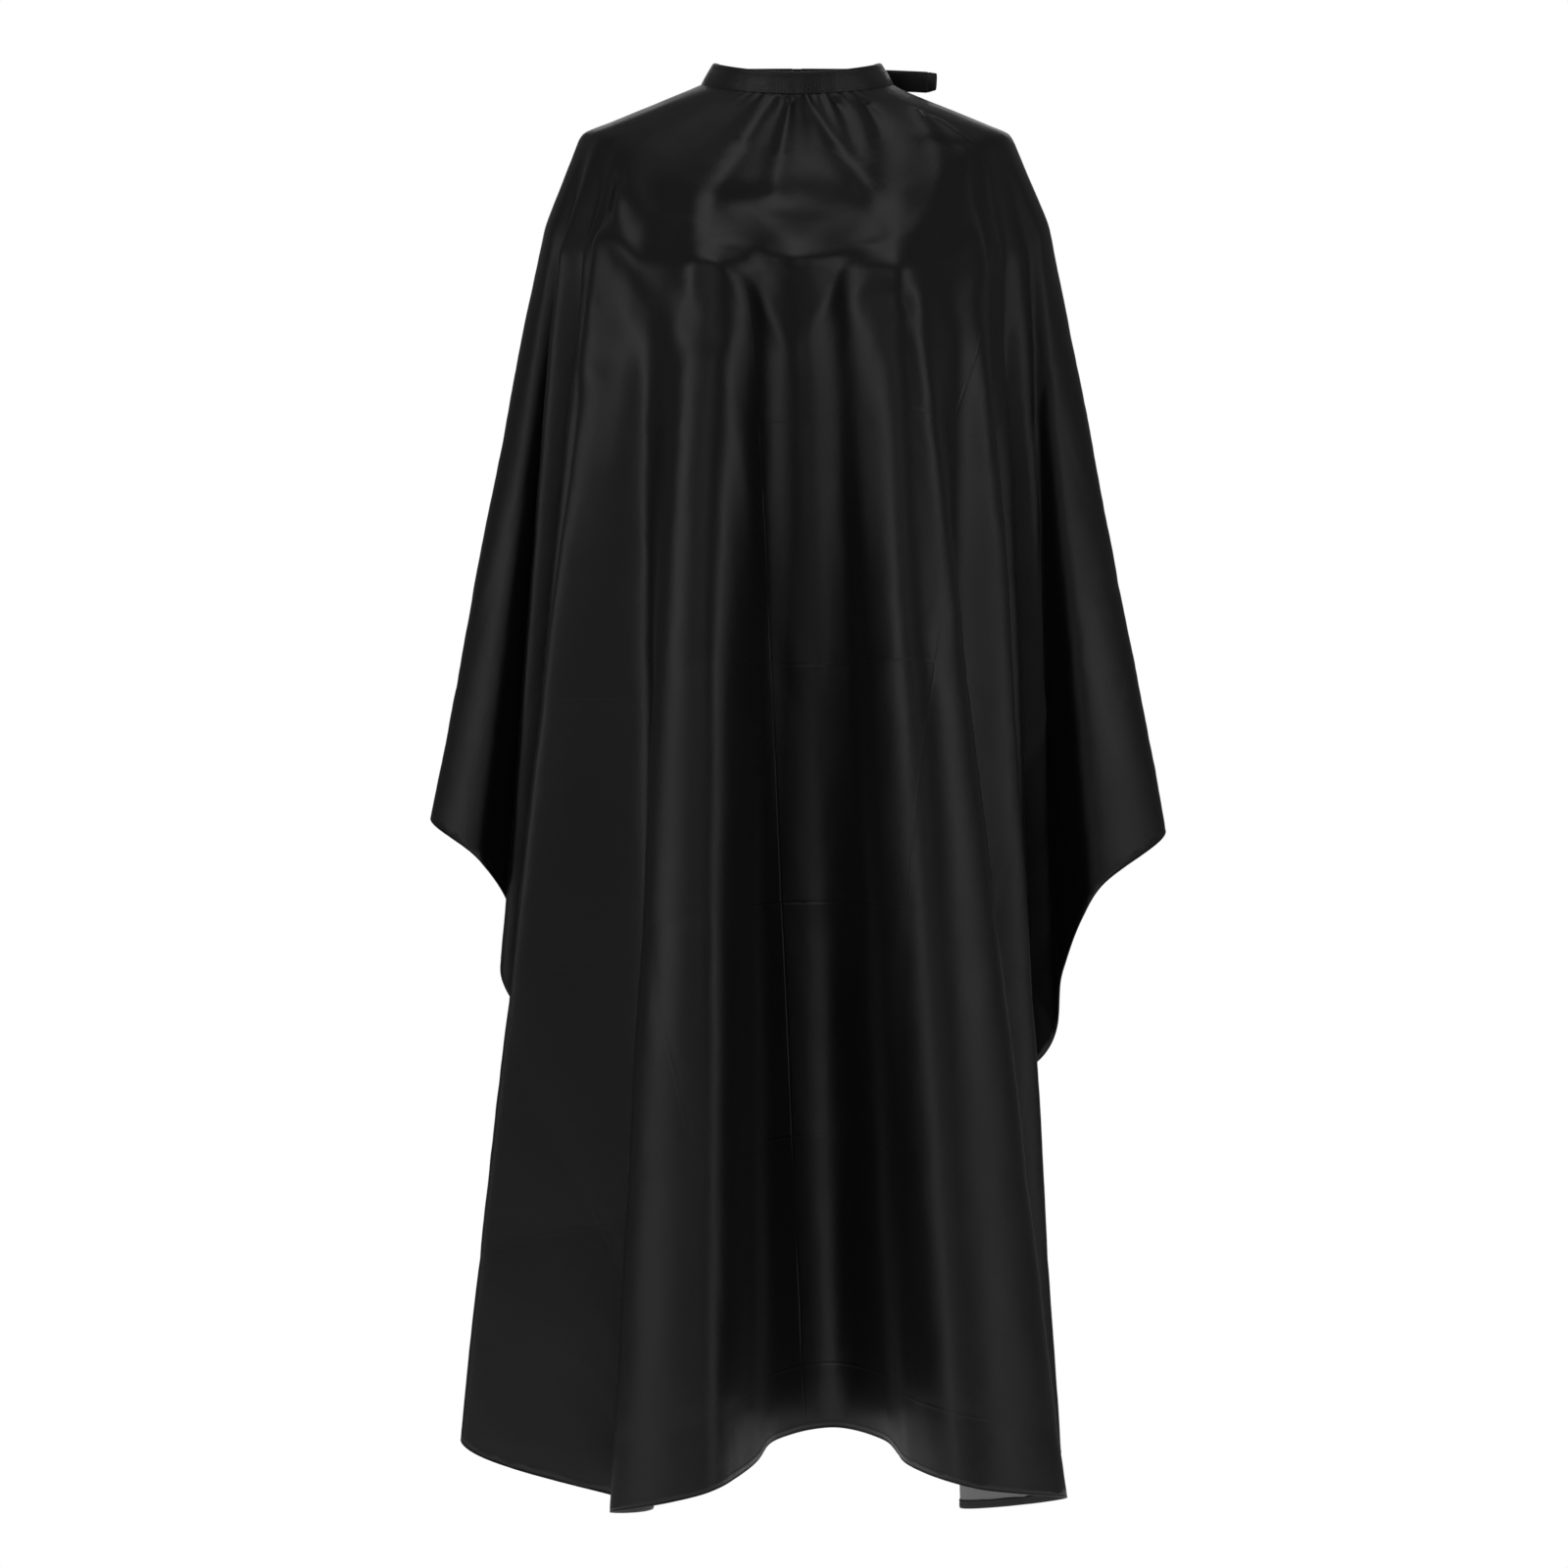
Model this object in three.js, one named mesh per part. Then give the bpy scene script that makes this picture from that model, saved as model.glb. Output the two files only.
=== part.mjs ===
// A barber's cutting cape as it hangs on a wearer: a coated sheet with turned hems, a stand-up
// neckband of three layers, and a hook-and-loop closure whose free end sticks out behind the neck.
// Millimetres. +X is the wearer's left, -Y is the front, +Z is up.
// The origin is the centre of the neck opening.
import * as THREE from "three";

// ---- driving dimensions -------------------------------------------------------------------
// The sheet, laid flat, with the neck hole's centre as its own origin.
const SHEET_WIDTH = 1600;
const SHEET_LENGTH = 1400;
const BACK_MARGIN = 105; // from the neck hole's centre to the back edge
const FRONT_REACH = SHEET_LENGTH - BACK_MARGIN;
const HALF_WIDTH = SHEET_WIDTH / 2;
const CORNER_RADIUS = 450; // the two front corners
const HOLE_RADIUS = 84;
const SHEET_THICKNESS = 2;
const HEM_WIDTH = 7;
const HEM_THICKNESS = 1.4;
const HEM_SEAM_GAP = 1.9; // wide enough to clear the sheet where a fold bends it sharply
const HEM_END_GAP = 0.5;
const TOUCH_GAP = 0.35; // left between pieces that touch on the real cape

// The neckband stands on a circle that is tilted back with the wearer's collar line.
const NECK_TILT = THREE.MathUtils.degToRad(10);
const NECK_RADIUS = 71; // inside of the facing
const BAND_HEIGHT = 19;
const BAND_FABRIC = 1.2;
const INTERFACING_THICKNESS = 0.8;
const FASTENER_THICKNESS = 1;
const BAND_ENDS_ANGLE = 177; // the band is open by this much short of a full turn each way

// The band takes the shape of the neck's base: its lower edge flares out, most towards the
// shoulders, where the whole band rides up. Both fade out towards the back.
const SIDE_FLARE = 11;
const FRONT_FLARE = 4;
const SIDE_RISE = 6;
const FLARE_FADES_FROM = 0.1; // in shares of the radius behind the neck's centre
const FLARE_FADES_TO = 0.9;

// The closure strap starts on the band's right back, crosses the opening, and leaves as a tail.
const STRAP_ROOT_ANGLE = 214; // counted on past the back, which is 180
const STRAP_HINGE_ANGLE = 190;
const STRAP_LEAVES_ANGLE = 158;
const STRAP_LIFT_ANGLE = 6; // over which the root rises to clear the fasteners
const HINGE_GAP = 0.5;
const STRAP_HEIGHT = 19;
const TAIL_LENGTH = 103;
const TAIL_FOLD_LENGTH = 9;
const TAIL_FOLD_THICKNESS = 2.4;
const LOOP_START_ANGLE = 128;
const FASTENER_HEIGHT = 16;
const INTERFACING_HEIGHT = 16;
const HOOK_ON_TAIL = 52;
const NECK_STEP = 2.5; // degrees between the points of a curve round the neck

// Where the sheet starts, just below the band.
const SHEET_NECK_RADIUS = 74;
const SHEET_NECK_HEIGHT = -BAND_HEIGHT / 2 - SHEET_THICKNESS;

// ---- colours ------------------------------------------------------------------------------
const CAPE_BLACK = 0x0b0b0c;
const BAND_BLACK = 0x0e0e10;
const LINING_GREY = 0x9a9a9a;
const INTERFACING_WHITE = 0xd8d8d4;
const FASTENER_BLACK = 0x151517;
const TAFFETA_ROUGHNESS = 0.4;
const CLOTH_ROUGHNESS = 0.5;
const FASTENER_ROUGHNESS = 0.95;

const material = (color, roughness) =>
  new THREE.MeshStandardMaterial({ color, roughness, metalness: 0 });

const cape = new THREE.Group();

function addMesh(parent, name, geometry, finish) {
  const mesh = new THREE.Mesh(geometry, finish);
  mesh.name = name;
  parent.add(mesh);
  return mesh;
}

// ---- the neck circle ----------------------------------------------------------------------
// Angles go round the neck from the front: 0 is the front, positive is towards +X.
const radians = THREE.MathUtils.degToRad;

// A point in the plane of the neck circle.
function neckPoint(angle, radius) {
  const a = radians(angle);
  return new THREE.Vector2(radius * Math.sin(a), -radius * Math.cos(a));
}

// Moves a place in the neck's own frame to where it is once the band fits the neck.
function fitToNeck(place) {
  const radius = Math.hypot(place.x, place.y);
  const side = place.x / radius;
  const back = place.y / radius;
  const front = Math.max(-back, 0);
  const share = 1 - THREE.MathUtils.smoothstep(back, FLARE_FADES_FROM, FLARE_FADES_TO);
  const drop = 0.5 - place.z / BAND_HEIGHT; // 0 at the band's top edge, 1 at its lower edge
  place.x += side * Math.abs(side) * SIDE_FLARE * drop * share;
  place.y -= front ** 2 * FRONT_FLARE * drop;
  place.z += side ** 2 * SIDE_RISE * share;
  return place;
}

// A point of the neck circle in the cape's frame, with height measured along the tilted axis.
function placeOnNeck(angle, radius, height) {
  const flat = neckPoint(angle, radius);
  return fitToNeck(new THREE.Vector3(flat.x, flat.y, height)).applyAxisAngle(
    new THREE.Vector3(1, 0, 0),
    NECK_TILT,
  );
}

// ---- the sheet's flat outline -------------------------------------------------------------
// Distance from the neck hole's centre to the outline in a direction, with the outline drawn in
// by an inset. Straight back edge, straight sides, two rounded front corners, straight front.
function outlineRadius(angle, inset = 0) {
  const a = radians(Math.abs(angle));
  const side = HALF_WIDTH - inset;
  const front = FRONT_REACH - inset;
  const back = BACK_MARGIN - inset;
  const round = CORNER_RADIUS - inset;
  const roundX = side - round;
  const roundY = front - round;
  if (a >= Math.atan2(side, -back)) return back / -Math.cos(a);
  if (a >= Math.atan2(side, roundY)) return side / Math.sin(a);
  if (a <= Math.atan2(roundX, front)) return front / Math.cos(a);
  const along = Math.sin(a) * roundX + Math.cos(a) * roundY;
  return along + Math.sqrt(along ** 2 - (roundX ** 2 + roundY ** 2 - round ** 2));
}

const WING_ANGLE = THREE.MathUtils.radToDeg(Math.atan2(HALF_WIDTH, -BACK_MARGIN));

// ---- the folds ----------------------------------------------------------------------------
// Each fold line starts at the neck and runs over the shoulder or the chest to the hem. It is
// given by its direction in the flat sheet and the places that it passes on the way down.
const BACK_FOLDS_RIGHT = [
  { angle: WING_ANGLE, via: [[170, 60, -52], [205, 90, -120], [205, 130, -655]] },
  { angle: 102, via: [[150, 80, -50], [192, 102, -112], [170, 122, -425]] },
  { angle: 108, via: [[140, 86, -50], [178, 110, -100], [158, 118, -238]] },
  { angle: 114, via: [[130, 92, -52], [160, 106, -80], [170, 114, -130]] },
  { angle: 122, via: [[118, 96, -52], [150, 117, -76]] },
  { angle: 150, via: [[60, 110, -32], [70, 132, -62]] },
  { angle: 180, via: [[2, 112, -26]] },
];
const BACK_FOLDS_LEFT = [
  { angle: -180, via: [[-2, 112, -26]] },
  { angle: -150, via: [[-60, 110, -32], [-70, 132, -62]] },
  { angle: -122, via: [[-118, 96, -52], [-150, 117, -76]] },
  { angle: -114, via: [[-130, 92, -52], [-160, 106, -80], [-170, 114, -130]] },
  { angle: -108, via: [[-140, 86, -50], [-178, 110, -100], [-158, 118, -238]] },
  { angle: -102, via: [[-150, 80, -50], [-192, 102, -112], [-170, 122, -425]] },
  { angle: -WING_ANGLE, via: [[-170, 60, -52], [-205, 90, -120], [-205, 130, -655]] },
];
const FRONT_FOLDS = [
  { angle: -WING_ANGLE, via: [[-170, 60, -52], [-205, 90, -120], [-205, 130, -655]] },
  { angle: -91, via: [[-185, 25, -48], [-225, 64, -130], [-312, 92, -665]] },
  { angle: -84, via: [[-190, 10, -46], [-218, 36, -130], [-225, 50, -655]] },
  { angle: -76, via: [[-192, 0, -46], [-225, 0, -130], [-322, -8, -650]] },
  { angle: -70, via: [[-188, -12, -48], [-218, -24, -138], [-284, -40, -700]] },
  { angle: -63, via: [[-182, -25, -50], [-205, -34, -150], [-258, 20, -775]] },
  { angle: -56, via: [[-175, -36, -55], [-210, -57, -160], [-262, 6, -870]] },
  { angle: -48, via: [[-166, -45, -60], [-188, -66, -165], [-155, 38, -985]] },
  { angle: -41, via: [[-159, -54, -66], [-190, -80, -160], [-272, -8, -1090]] },
  { angle: -35, via: [[-150, -64, -74], [-176, -92, -160], [-165, -20, -1175]] },
  { angle: -29.5, via: [[-138, -74, -84], [-176, -112, -150], [-298, -66, -1236]] },
  { angle: -22.5, via: [[-112, -98, -104], [-128, -128, -180], [-128, -66, -1245]] },
  { angle: -18, via: [[-88, -128, -130], [-100, -168, -185], [-158, -146, -1240]] },
  { angle: -13.5, via: [[-62, -126, -130], [-78, -178, -180], [-76, -180, -1235]] },
  { angle: -9, via: [[-40, -122, -128], [-48, -172, -180], [-40, -108, -1215]] },
  { angle: -4.5, via: [[-20, -118, -124], [-26, -162, -178], [-20, -26, -1195]] },
  { angle: 0, via: [[0, -116, -122], [0, -156, -176], [32, 12, -1180]] },
  { angle: 4.5, via: [[20, -118, -124], [26, -162, -178], [78, -34, -1190]] },
  { angle: 9, via: [[40, -122, -128], [48, -172, -180], [98, -116, -1210]] },
  { angle: 13.5, via: [[62, -126, -130], [78, -178, -180], [150, -172, -1235]] },
  { angle: 18, via: [[88, -128, -130], [100, -168, -185], [231, -118, -1240]] },
  { angle: 22.5, via: [[112, -98, -104], [128, -128, -180], [140, -76, -1245]] },
  { angle: 29, via: [[138, -74, -84], [162, -104, -150], [232, -36, -1238]] },
  { angle: 34.5, via: [[150, -64, -74], [168, -90, -160], [150, 0, -1175]] },
  { angle: 40.5, via: [[158, -54, -66], [180, -76, -160], [218, 30, -1085]] },
  { angle: 47, via: [[166, -45, -60], [182, -62, -165], [150, 80, -990]] },
  { angle: 52, via: [[171, -40, -57], [196, -52, -163], [228, 52, -890]] },
  { angle: 58, via: [[177, -33, -54], [204, -40, -156], [240, 24, -830]] },
  { angle: 66, via: [[185, -18, -50], [216, -32, -140], [268, -30, -735]] },
  { angle: 73, via: [[190, 0, -48], [224, -4, -128], [332, 12, -690]] },
  { angle: 79.5, via: [[190, 10, -46], [212, 36, -130], [240, 50, -672]] },
  { angle: 89, via: [[185, 25, -48], [228, 64, -130], [322, 98, -672]] },
  { angle: WING_ANGLE, via: [[170, 60, -52], [205, 90, -120], [205, 130, -655]] },
];
const ROWS = 13; // from the neck to the hem, the last one as wide as the hem
const STEPS_PER_FOLD = 3;

// The place at a distance along a fold line, carried straight on past its last point.
function alongFold(curve, distance) {
  const length = curve.getLength();
  if (distance <= length) return curve.getPointAt(Math.max(distance / length, 0));
  return curve
    .getPointAt(1)
    .addScaledVector(curve.getTangentAt(1), distance - length);
}

// One list of places per fold line: the neck edge first, the hem last.
function foldPlaces({ angle, via }, hemWidth) {
  const start = placeOnNeck(angle, SHEET_NECK_RADIUS, SHEET_NECK_HEIGHT);
  if (Math.abs(angle) === 180) start.x = via[0][0]; // the back opening's two edges
  const points = [start, ...via.map((place) => new THREE.Vector3(...place))];
  const curve = new THREE.CatmullRomCurve3(points, false, "centripetal");
  const hemLine = outlineRadius(angle, hemWidth) - HOLE_RADIUS;
  const hem = outlineRadius(angle) - HOLE_RADIUS;
  const places = [];
  for (let row = 0; row < ROWS; row++) {
    places.push(alongFold(curve, (hemLine * row) / (ROWS - 1)));
  }
  places.push(alongFold(curve, hem));
  return places;
}

// Smooth columns between the fold lines of one stretch of the sheet.
function smoothColumns(folds, hemWidth) {
  const lines = folds.map((fold) => foldPlaces(fold, hemWidth));
  const rowCurves = lines[0].map(
    (_, row) =>
      new THREE.CatmullRomCurve3(lines.map((line) => line[row]), false, "centripetal"),
  );
  const count = (folds.length - 1) * STEPS_PER_FOLD;
  const columns = [];
  for (let i = 0; i <= count; i++) {
    columns.push(rowCurves.map((curve) => curve.getPoint(i / count)));
  }
  return columns;
}

// The whole sheet from one edge of the back opening round the front to the other, as a grid of
// places and the outward direction at each. Its last row but one runs a hem's width from the edge.
function layOutSheet(hemWidth) {
  const leftBack = smoothColumns(BACK_FOLDS_LEFT, hemWidth);
  const front = smoothColumns(FRONT_FOLDS, hemWidth);
  const rightBack = smoothColumns(BACK_FOLDS_RIGHT, hemWidth);
  const places = [...leftBack, ...front.slice(1, -1), ...rightBack];
  const lastColumn = places.length - 1;
  const outward = places.map((column, c) =>
    column.map((_, r) => {
      const before = places[Math.max(c - 1, 0)][r];
      const after = places[Math.min(c + 1, lastColumn)][r];
      const above = column[Math.max(r - 1, 0)];
      const below = column[Math.min(r + 1, column.length - 1)];
      const across = after.clone().sub(before);
      return below.clone().sub(above).cross(across).normalize();
    }),
  );
  return { places, outward, lastColumn };
}

// A closed solid of a thickness centred on part of a sheet, from one column and row to another.
// endGap draws its two end columns in, to clear its neighbours.
function sheetStrip(sheet, { thickness, columns, rows, endGap = 0 }) {
  const [fromColumn, toColumn] = columns;
  const [fromRow, toRow] = rows;
  const wide = toColumn - fromColumn + 1;
  const deep = toRow - fromRow + 1;
  const placeAt = (c, r) => {
    const place = sheet.places[c][r].clone();
    if (endGap && (c === fromColumn || c === toColumn)) {
      const inner = sheet.places[c === fromColumn ? c + 1 : c - 1][r];
      place.add(inner.clone().sub(place).setLength(endGap));
    }
    return place;
  };
  const positions = [];
  for (const offset of [thickness / 2, -thickness / 2]) {
    for (let c = fromColumn; c <= toColumn; c++) {
      for (let r = fromRow; r <= toRow; r++) {
        const place = placeAt(c, r).addScaledVector(sheet.outward[c][r], offset);
        positions.push(place.x, place.y, place.z);
      }
    }
  }
  const layer = wide * deep;
  const index = [];
  const quad = (a, b, c, d) => index.push(a, b, c, a, c, d);
  for (let c = 0; c < wide - 1; c++) {
    for (let r = 0; r < deep - 1; r++) {
      const a = c * deep + r;
      quad(a, a + 1, a + deep + 1, a + deep);
      quad(layer + a, layer + a + deep, layer + a + deep + 1, layer + a + 1);
    }
    const top = c * deep;
    const bottom = top + deep - 1;
    quad(top, top + deep, layer + top + deep, layer + top);
    quad(bottom + deep, bottom, layer + bottom, layer + bottom + deep);
  }
  const lastColumn = (wide - 1) * deep;
  for (let r = 0; r < deep - 1; r++) {
    quad(r + 1, r, layer + r, layer + r + 1);
    quad(lastColumn + r, lastColumn + r + 1, layer + lastColumn + r + 1, layer + lastColumn + r);
  }
  const geometry = new THREE.BufferGeometry();
  geometry.setAttribute("position", new THREE.Float32BufferAttribute(positions, 3));
  geometry.setIndex(index);
  return geometry;
}

const panelSheet = layOutSheet(HEM_WIDTH);
const { lastColumn } = panelSheet;
addMesh(
  cape,
  "cape_panel",
  sheetStrip(panelSheet, {
    thickness: SHEET_THICKNESS,
    columns: [0, lastColumn],
    rows: [0, ROWS - 1],
  }),
  material(CAPE_BLACK, TAFFETA_ROUGHNESS),
);

// ---- the turned hems ----------------------------------------------------------------------
// Each is a narrow strip along the sheet's edge, where the real sheet is turned over and sewn.
const hemSheet = layOutSheet(HEM_WIDTH - HEM_SEAM_GAP);
const backColumns = (BACK_FOLDS_LEFT.length - 1) * STEPS_PER_FOLD;
const foldColumn = (angle) =>
  backColumns + STEPS_PER_FOLD * FRONT_FOLDS.findIndex((fold) => fold.angle === angle);
const FRONT_HEM_ANGLES = [-41, 40.5]; // the fold lines nearest to where the sides start
const hemStarts = [
  0,
  backColumns,
  ...FRONT_HEM_ANGLES.map(foldColumn),
  lastColumn - backColumns,
  lastColumn,
];
const HEM_NAMES = [
  "hem_back_right_half",
  "hem_right_side",
  "hem_front",
  "hem_left_side",
  "hem_back_left_half",
];
HEM_NAMES.forEach((name, i) => {
  addMesh(
    cape,
    name,
    sheetStrip(hemSheet, {
      thickness: HEM_THICKNESS,
      columns: [hemStarts[i], hemStarts[i + 1]],
      rows: [ROWS - 1, ROWS],
      endGap: HEM_END_GAP,
    }),
    material(BAND_BLACK, TAFFETA_ROUGHNESS),
  );
});

// ---- the neckband -------------------------------------------------------------------------
// Everything on the neck is drawn in the plane of the neck circle and raised along its axis.
const neck = new THREE.Group();
neck.rotation.x = NECK_TILT;
cape.add(neck);

// A strip stood on edge along a line of points, thickened to its outer side.
function standingStrip(line, thickness, height) {
  const outer = line.map((point, i) => {
    const before = line[Math.max(i - 1, 0)];
    const after = line[Math.min(i + 1, line.length - 1)];
    const along = after.clone().sub(before).normalize();
    return point.clone().add(new THREE.Vector2(along.y, -along.x).multiplyScalar(thickness));
  });
  const shape = new THREE.Shape([...line, ...outer.reverse()]);
  const geometry = new THREE.ExtrudeGeometry(shape, { depth: height, bevelEnabled: false });
  return geometry.translate(0, 0, -height / 2);
}

// The same strip bent to the shape of the neck.
function fittedStrip(line, thickness, height) {
  const geometry = standingStrip(line, thickness, height);
  const places = geometry.getAttribute("position");
  for (let i = 0; i < places.count; i++) {
    const place = fitToNeck(new THREE.Vector3().fromBufferAttribute(places, i));
    places.setXYZ(i, place.x, place.y, place.z);
  }
  return geometry;
}

// Points round the neck circle from one angle to another.
function neckArc(radius, fromAngle, toAngle, step = NECK_STEP) {
  const count = Math.max(2, Math.round(Math.abs(toAngle - fromAngle) / step));
  const points = [];
  for (let i = 0; i <= count; i++) {
    points.push(neckPoint(fromAngle + ((toAngle - fromAngle) * i) / count, radius));
  }
  return points;
}

const facingRadius = NECK_RADIUS;
const interfacingRadius = facingRadius + BAND_FABRIC + TOUCH_GAP;
const outerBandRadius = interfacingRadius + INTERFACING_THICKNESS + TOUCH_GAP;
const bandSurface = outerBandRadius + BAND_FABRIC + TOUCH_GAP;
const hookRadius = bandSurface + FASTENER_THICKNESS + TOUCH_GAP;
const strapRadius = hookRadius + FASTENER_THICKNESS + TOUCH_GAP;

const BAND_LAYERS = [
  ["neckband_facing", facingRadius, BAND_FABRIC, BAND_HEIGHT, LINING_GREY],
  [
    "neckband_interfacing",
    interfacingRadius,
    INTERFACING_THICKNESS,
    INTERFACING_HEIGHT,
    INTERFACING_WHITE,
  ],
  ["neckband_outer", outerBandRadius, BAND_FABRIC, BAND_HEIGHT, BAND_BLACK],
];
for (const [name, radius, thickness, height, color] of BAND_LAYERS) {
  const line = neckArc(radius, -BAND_ENDS_ANGLE, BAND_ENDS_ANGLE);
  addMesh(neck, name, fittedStrip(line, thickness, height), material(color, CLOTH_ROUGHNESS));
}

// ---- the closure --------------------------------------------------------------------------
// The loop strip is sewn to the band's left back, and the hook patch inside the strap.
const fastenerMaterial = material(FASTENER_BLACK, FASTENER_ROUGHNESS);
const strapMaterial = material(BAND_BLACK, TAFFETA_ROUGHNESS);
const strip = (name, line, thickness, height, finish) =>
  addMesh(neck, name, standingStrip(line, thickness, height), finish);

addMesh(
  neck,
  "loop_strip",
  fittedStrip(
    neckArc(bandSurface, LOOP_START_ANGLE, BAND_ENDS_ANGLE),
    FASTENER_THICKNESS,
    FASTENER_HEIGHT,
  ),
  fastenerMaterial,
);
const gapAngle = THREE.MathUtils.radToDeg(HINGE_GAP / strapRadius);
const rootLine = [
  ...neckArc(strapRadius, STRAP_HINGE_ANGLE + gapAngle, STRAP_HINGE_ANGLE + 2 * gapAngle),
  ...neckArc(bandSurface, STRAP_HINGE_ANGLE + STRAP_LIFT_ANGLE, STRAP_ROOT_ANGLE),
];
addMesh(
  neck,
  "closure_strap_root",
  fittedStrip(rootLine, BAND_FABRIC, STRAP_HEIGHT),
  strapMaterial,
);
strip(
  "closure_strap",
  neckArc(strapRadius, STRAP_LEAVES_ANGLE, STRAP_HINGE_ANGLE - gapAngle),
  BAND_FABRIC,
  STRAP_HEIGHT,
  strapMaterial,
);
strip(
  "hook_patch",
  neckArc(hookRadius, STRAP_LEAVES_ANGLE, BAND_ENDS_ANGLE),
  FASTENER_THICKNESS,
  FASTENER_HEIGHT,
  fastenerMaterial,
);

// A straight stretch of the tail: distances along it from where the strap leaves the neck.
function tailLine(radius, from, to) {
  const start = neckPoint(STRAP_LEAVES_ANGLE, radius);
  const a = radians(STRAP_LEAVES_ANGLE);
  const along = new THREE.Vector2(-Math.cos(a), -Math.sin(a));
  return [to, from].map((distance) => start.clone().addScaledVector(along, distance));
}
const tailEnd = TAIL_LENGTH - TAIL_FOLD_LENGTH;
strip(
  "closure_tail",
  tailLine(strapRadius, HINGE_GAP, tailEnd),
  BAND_FABRIC,
  STRAP_HEIGHT,
  strapMaterial,
);
strip(
  "tail_fold",
  tailLine(strapRadius, tailEnd + TOUCH_GAP, TAIL_LENGTH),
  TAIL_FOLD_THICKNESS,
  STRAP_HEIGHT,
  strapMaterial,
);
strip(
  "tail_hook_patch",
  tailLine(hookRadius, HINGE_GAP, HOOK_ON_TAIL),
  FASTENER_THICKNESS,
  FASTENER_HEIGHT,
  fastenerMaterial,
);

export default cape;
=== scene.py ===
"""A barber's cutting cape hanging on its neckband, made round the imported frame.

Metres. +X is the wearer's left, -Y is the front, +Z is up. The origin is the neck opening's centre.
"""
import math

import bmesh
import bpy
import numpy as np
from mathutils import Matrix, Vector, noise
from mathutils.bvhtree import BVHTree
from mathutils.geometry import delaunay_2d_cdt


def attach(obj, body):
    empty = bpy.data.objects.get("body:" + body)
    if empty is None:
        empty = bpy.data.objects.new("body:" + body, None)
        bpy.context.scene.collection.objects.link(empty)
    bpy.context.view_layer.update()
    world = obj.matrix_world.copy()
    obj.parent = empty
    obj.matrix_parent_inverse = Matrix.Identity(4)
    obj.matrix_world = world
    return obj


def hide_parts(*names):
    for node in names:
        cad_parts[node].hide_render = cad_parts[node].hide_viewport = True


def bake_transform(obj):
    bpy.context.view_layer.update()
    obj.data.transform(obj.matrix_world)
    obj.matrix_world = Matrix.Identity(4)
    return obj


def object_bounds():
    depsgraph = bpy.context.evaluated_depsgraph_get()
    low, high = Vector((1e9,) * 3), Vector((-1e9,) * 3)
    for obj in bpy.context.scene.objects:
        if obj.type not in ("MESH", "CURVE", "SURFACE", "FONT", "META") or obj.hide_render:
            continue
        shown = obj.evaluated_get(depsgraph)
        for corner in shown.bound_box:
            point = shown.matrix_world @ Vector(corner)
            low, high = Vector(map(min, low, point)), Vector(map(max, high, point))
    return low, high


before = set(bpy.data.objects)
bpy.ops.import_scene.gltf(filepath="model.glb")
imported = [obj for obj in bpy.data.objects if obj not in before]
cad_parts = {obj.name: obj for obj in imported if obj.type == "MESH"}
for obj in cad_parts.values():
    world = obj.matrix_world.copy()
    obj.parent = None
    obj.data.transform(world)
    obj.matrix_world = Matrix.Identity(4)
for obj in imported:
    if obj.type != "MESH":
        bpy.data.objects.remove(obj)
cad_low, cad_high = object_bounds()
scene = bpy.context.scene
MM = 0.001

# ---- the flat sheet, as in the model ----
SHEET_WIDTH = 1.600
SHEET_LENGTH = 1.400
BACK_MARGIN = 0.105
FRONT_REACH = SHEET_LENGTH - BACK_MARGIN
HALF_WIDTH = SHEET_WIDTH / 2
CORNER_RADIUS = 0.450
HOLE_RADIUS = 0.084
SLIT_HALF_GAP = 0.001
CLOTH_THICKNESS = 0.0004
HEM_WIDTH = 0.007

# ---- the neck, as in the model ----
NECK_TILT = math.radians(10)
NECK_RADIUS = 0.071
BAND_HEIGHT = 0.019
BAND_FABRIC = 0.0012
BAND_OUTER_RADIUS = 0.0737
BAND_SURFACE = 0.07525
HOOK_RADIUS = 0.0766
STRAP_RADIUS = 0.07795
BAND_ENDS_ANGLE = 177
SIDE_FLARE = 0.011
FRONT_FLARE = 0.004
SIDE_RISE = 0.006
FLARE_FADES_FROM = 0.1
FLARE_FADES_TO = 0.9
STRAP_ROOT_ANGLE = 214
STRAP_HINGE_ANGLE = 190
STRAP_LEAVES_ANGLE = 158
LOOP_START_ANGLE = 128
STRAP_HEIGHT = 0.019
STRAP_SEAM_INSET = 0.0022
BAND_SEAM_INSET = 0.0026
FASTENER_HEIGHT = 0.016
TAIL_LENGTH = 0.103
TAIL_FOLD_LENGTH = 0.009
HOOK_ON_TAIL = 0.052
SEAM_RADIUS = 0.0734
SEAM_HEIGHT = -0.0084

# ---- the camera ----
CAMERA_DISTANCE = 4.0
CAMERA_X = -0.0117
CAMERA_Z = -0.624
FRAME_WIDTH = 1.392
SENSOR_WIDTH = 36.0

WING_ANGLE = math.degrees(math.atan2(HALF_WIDTH, -BACK_MARGIN))

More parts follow.
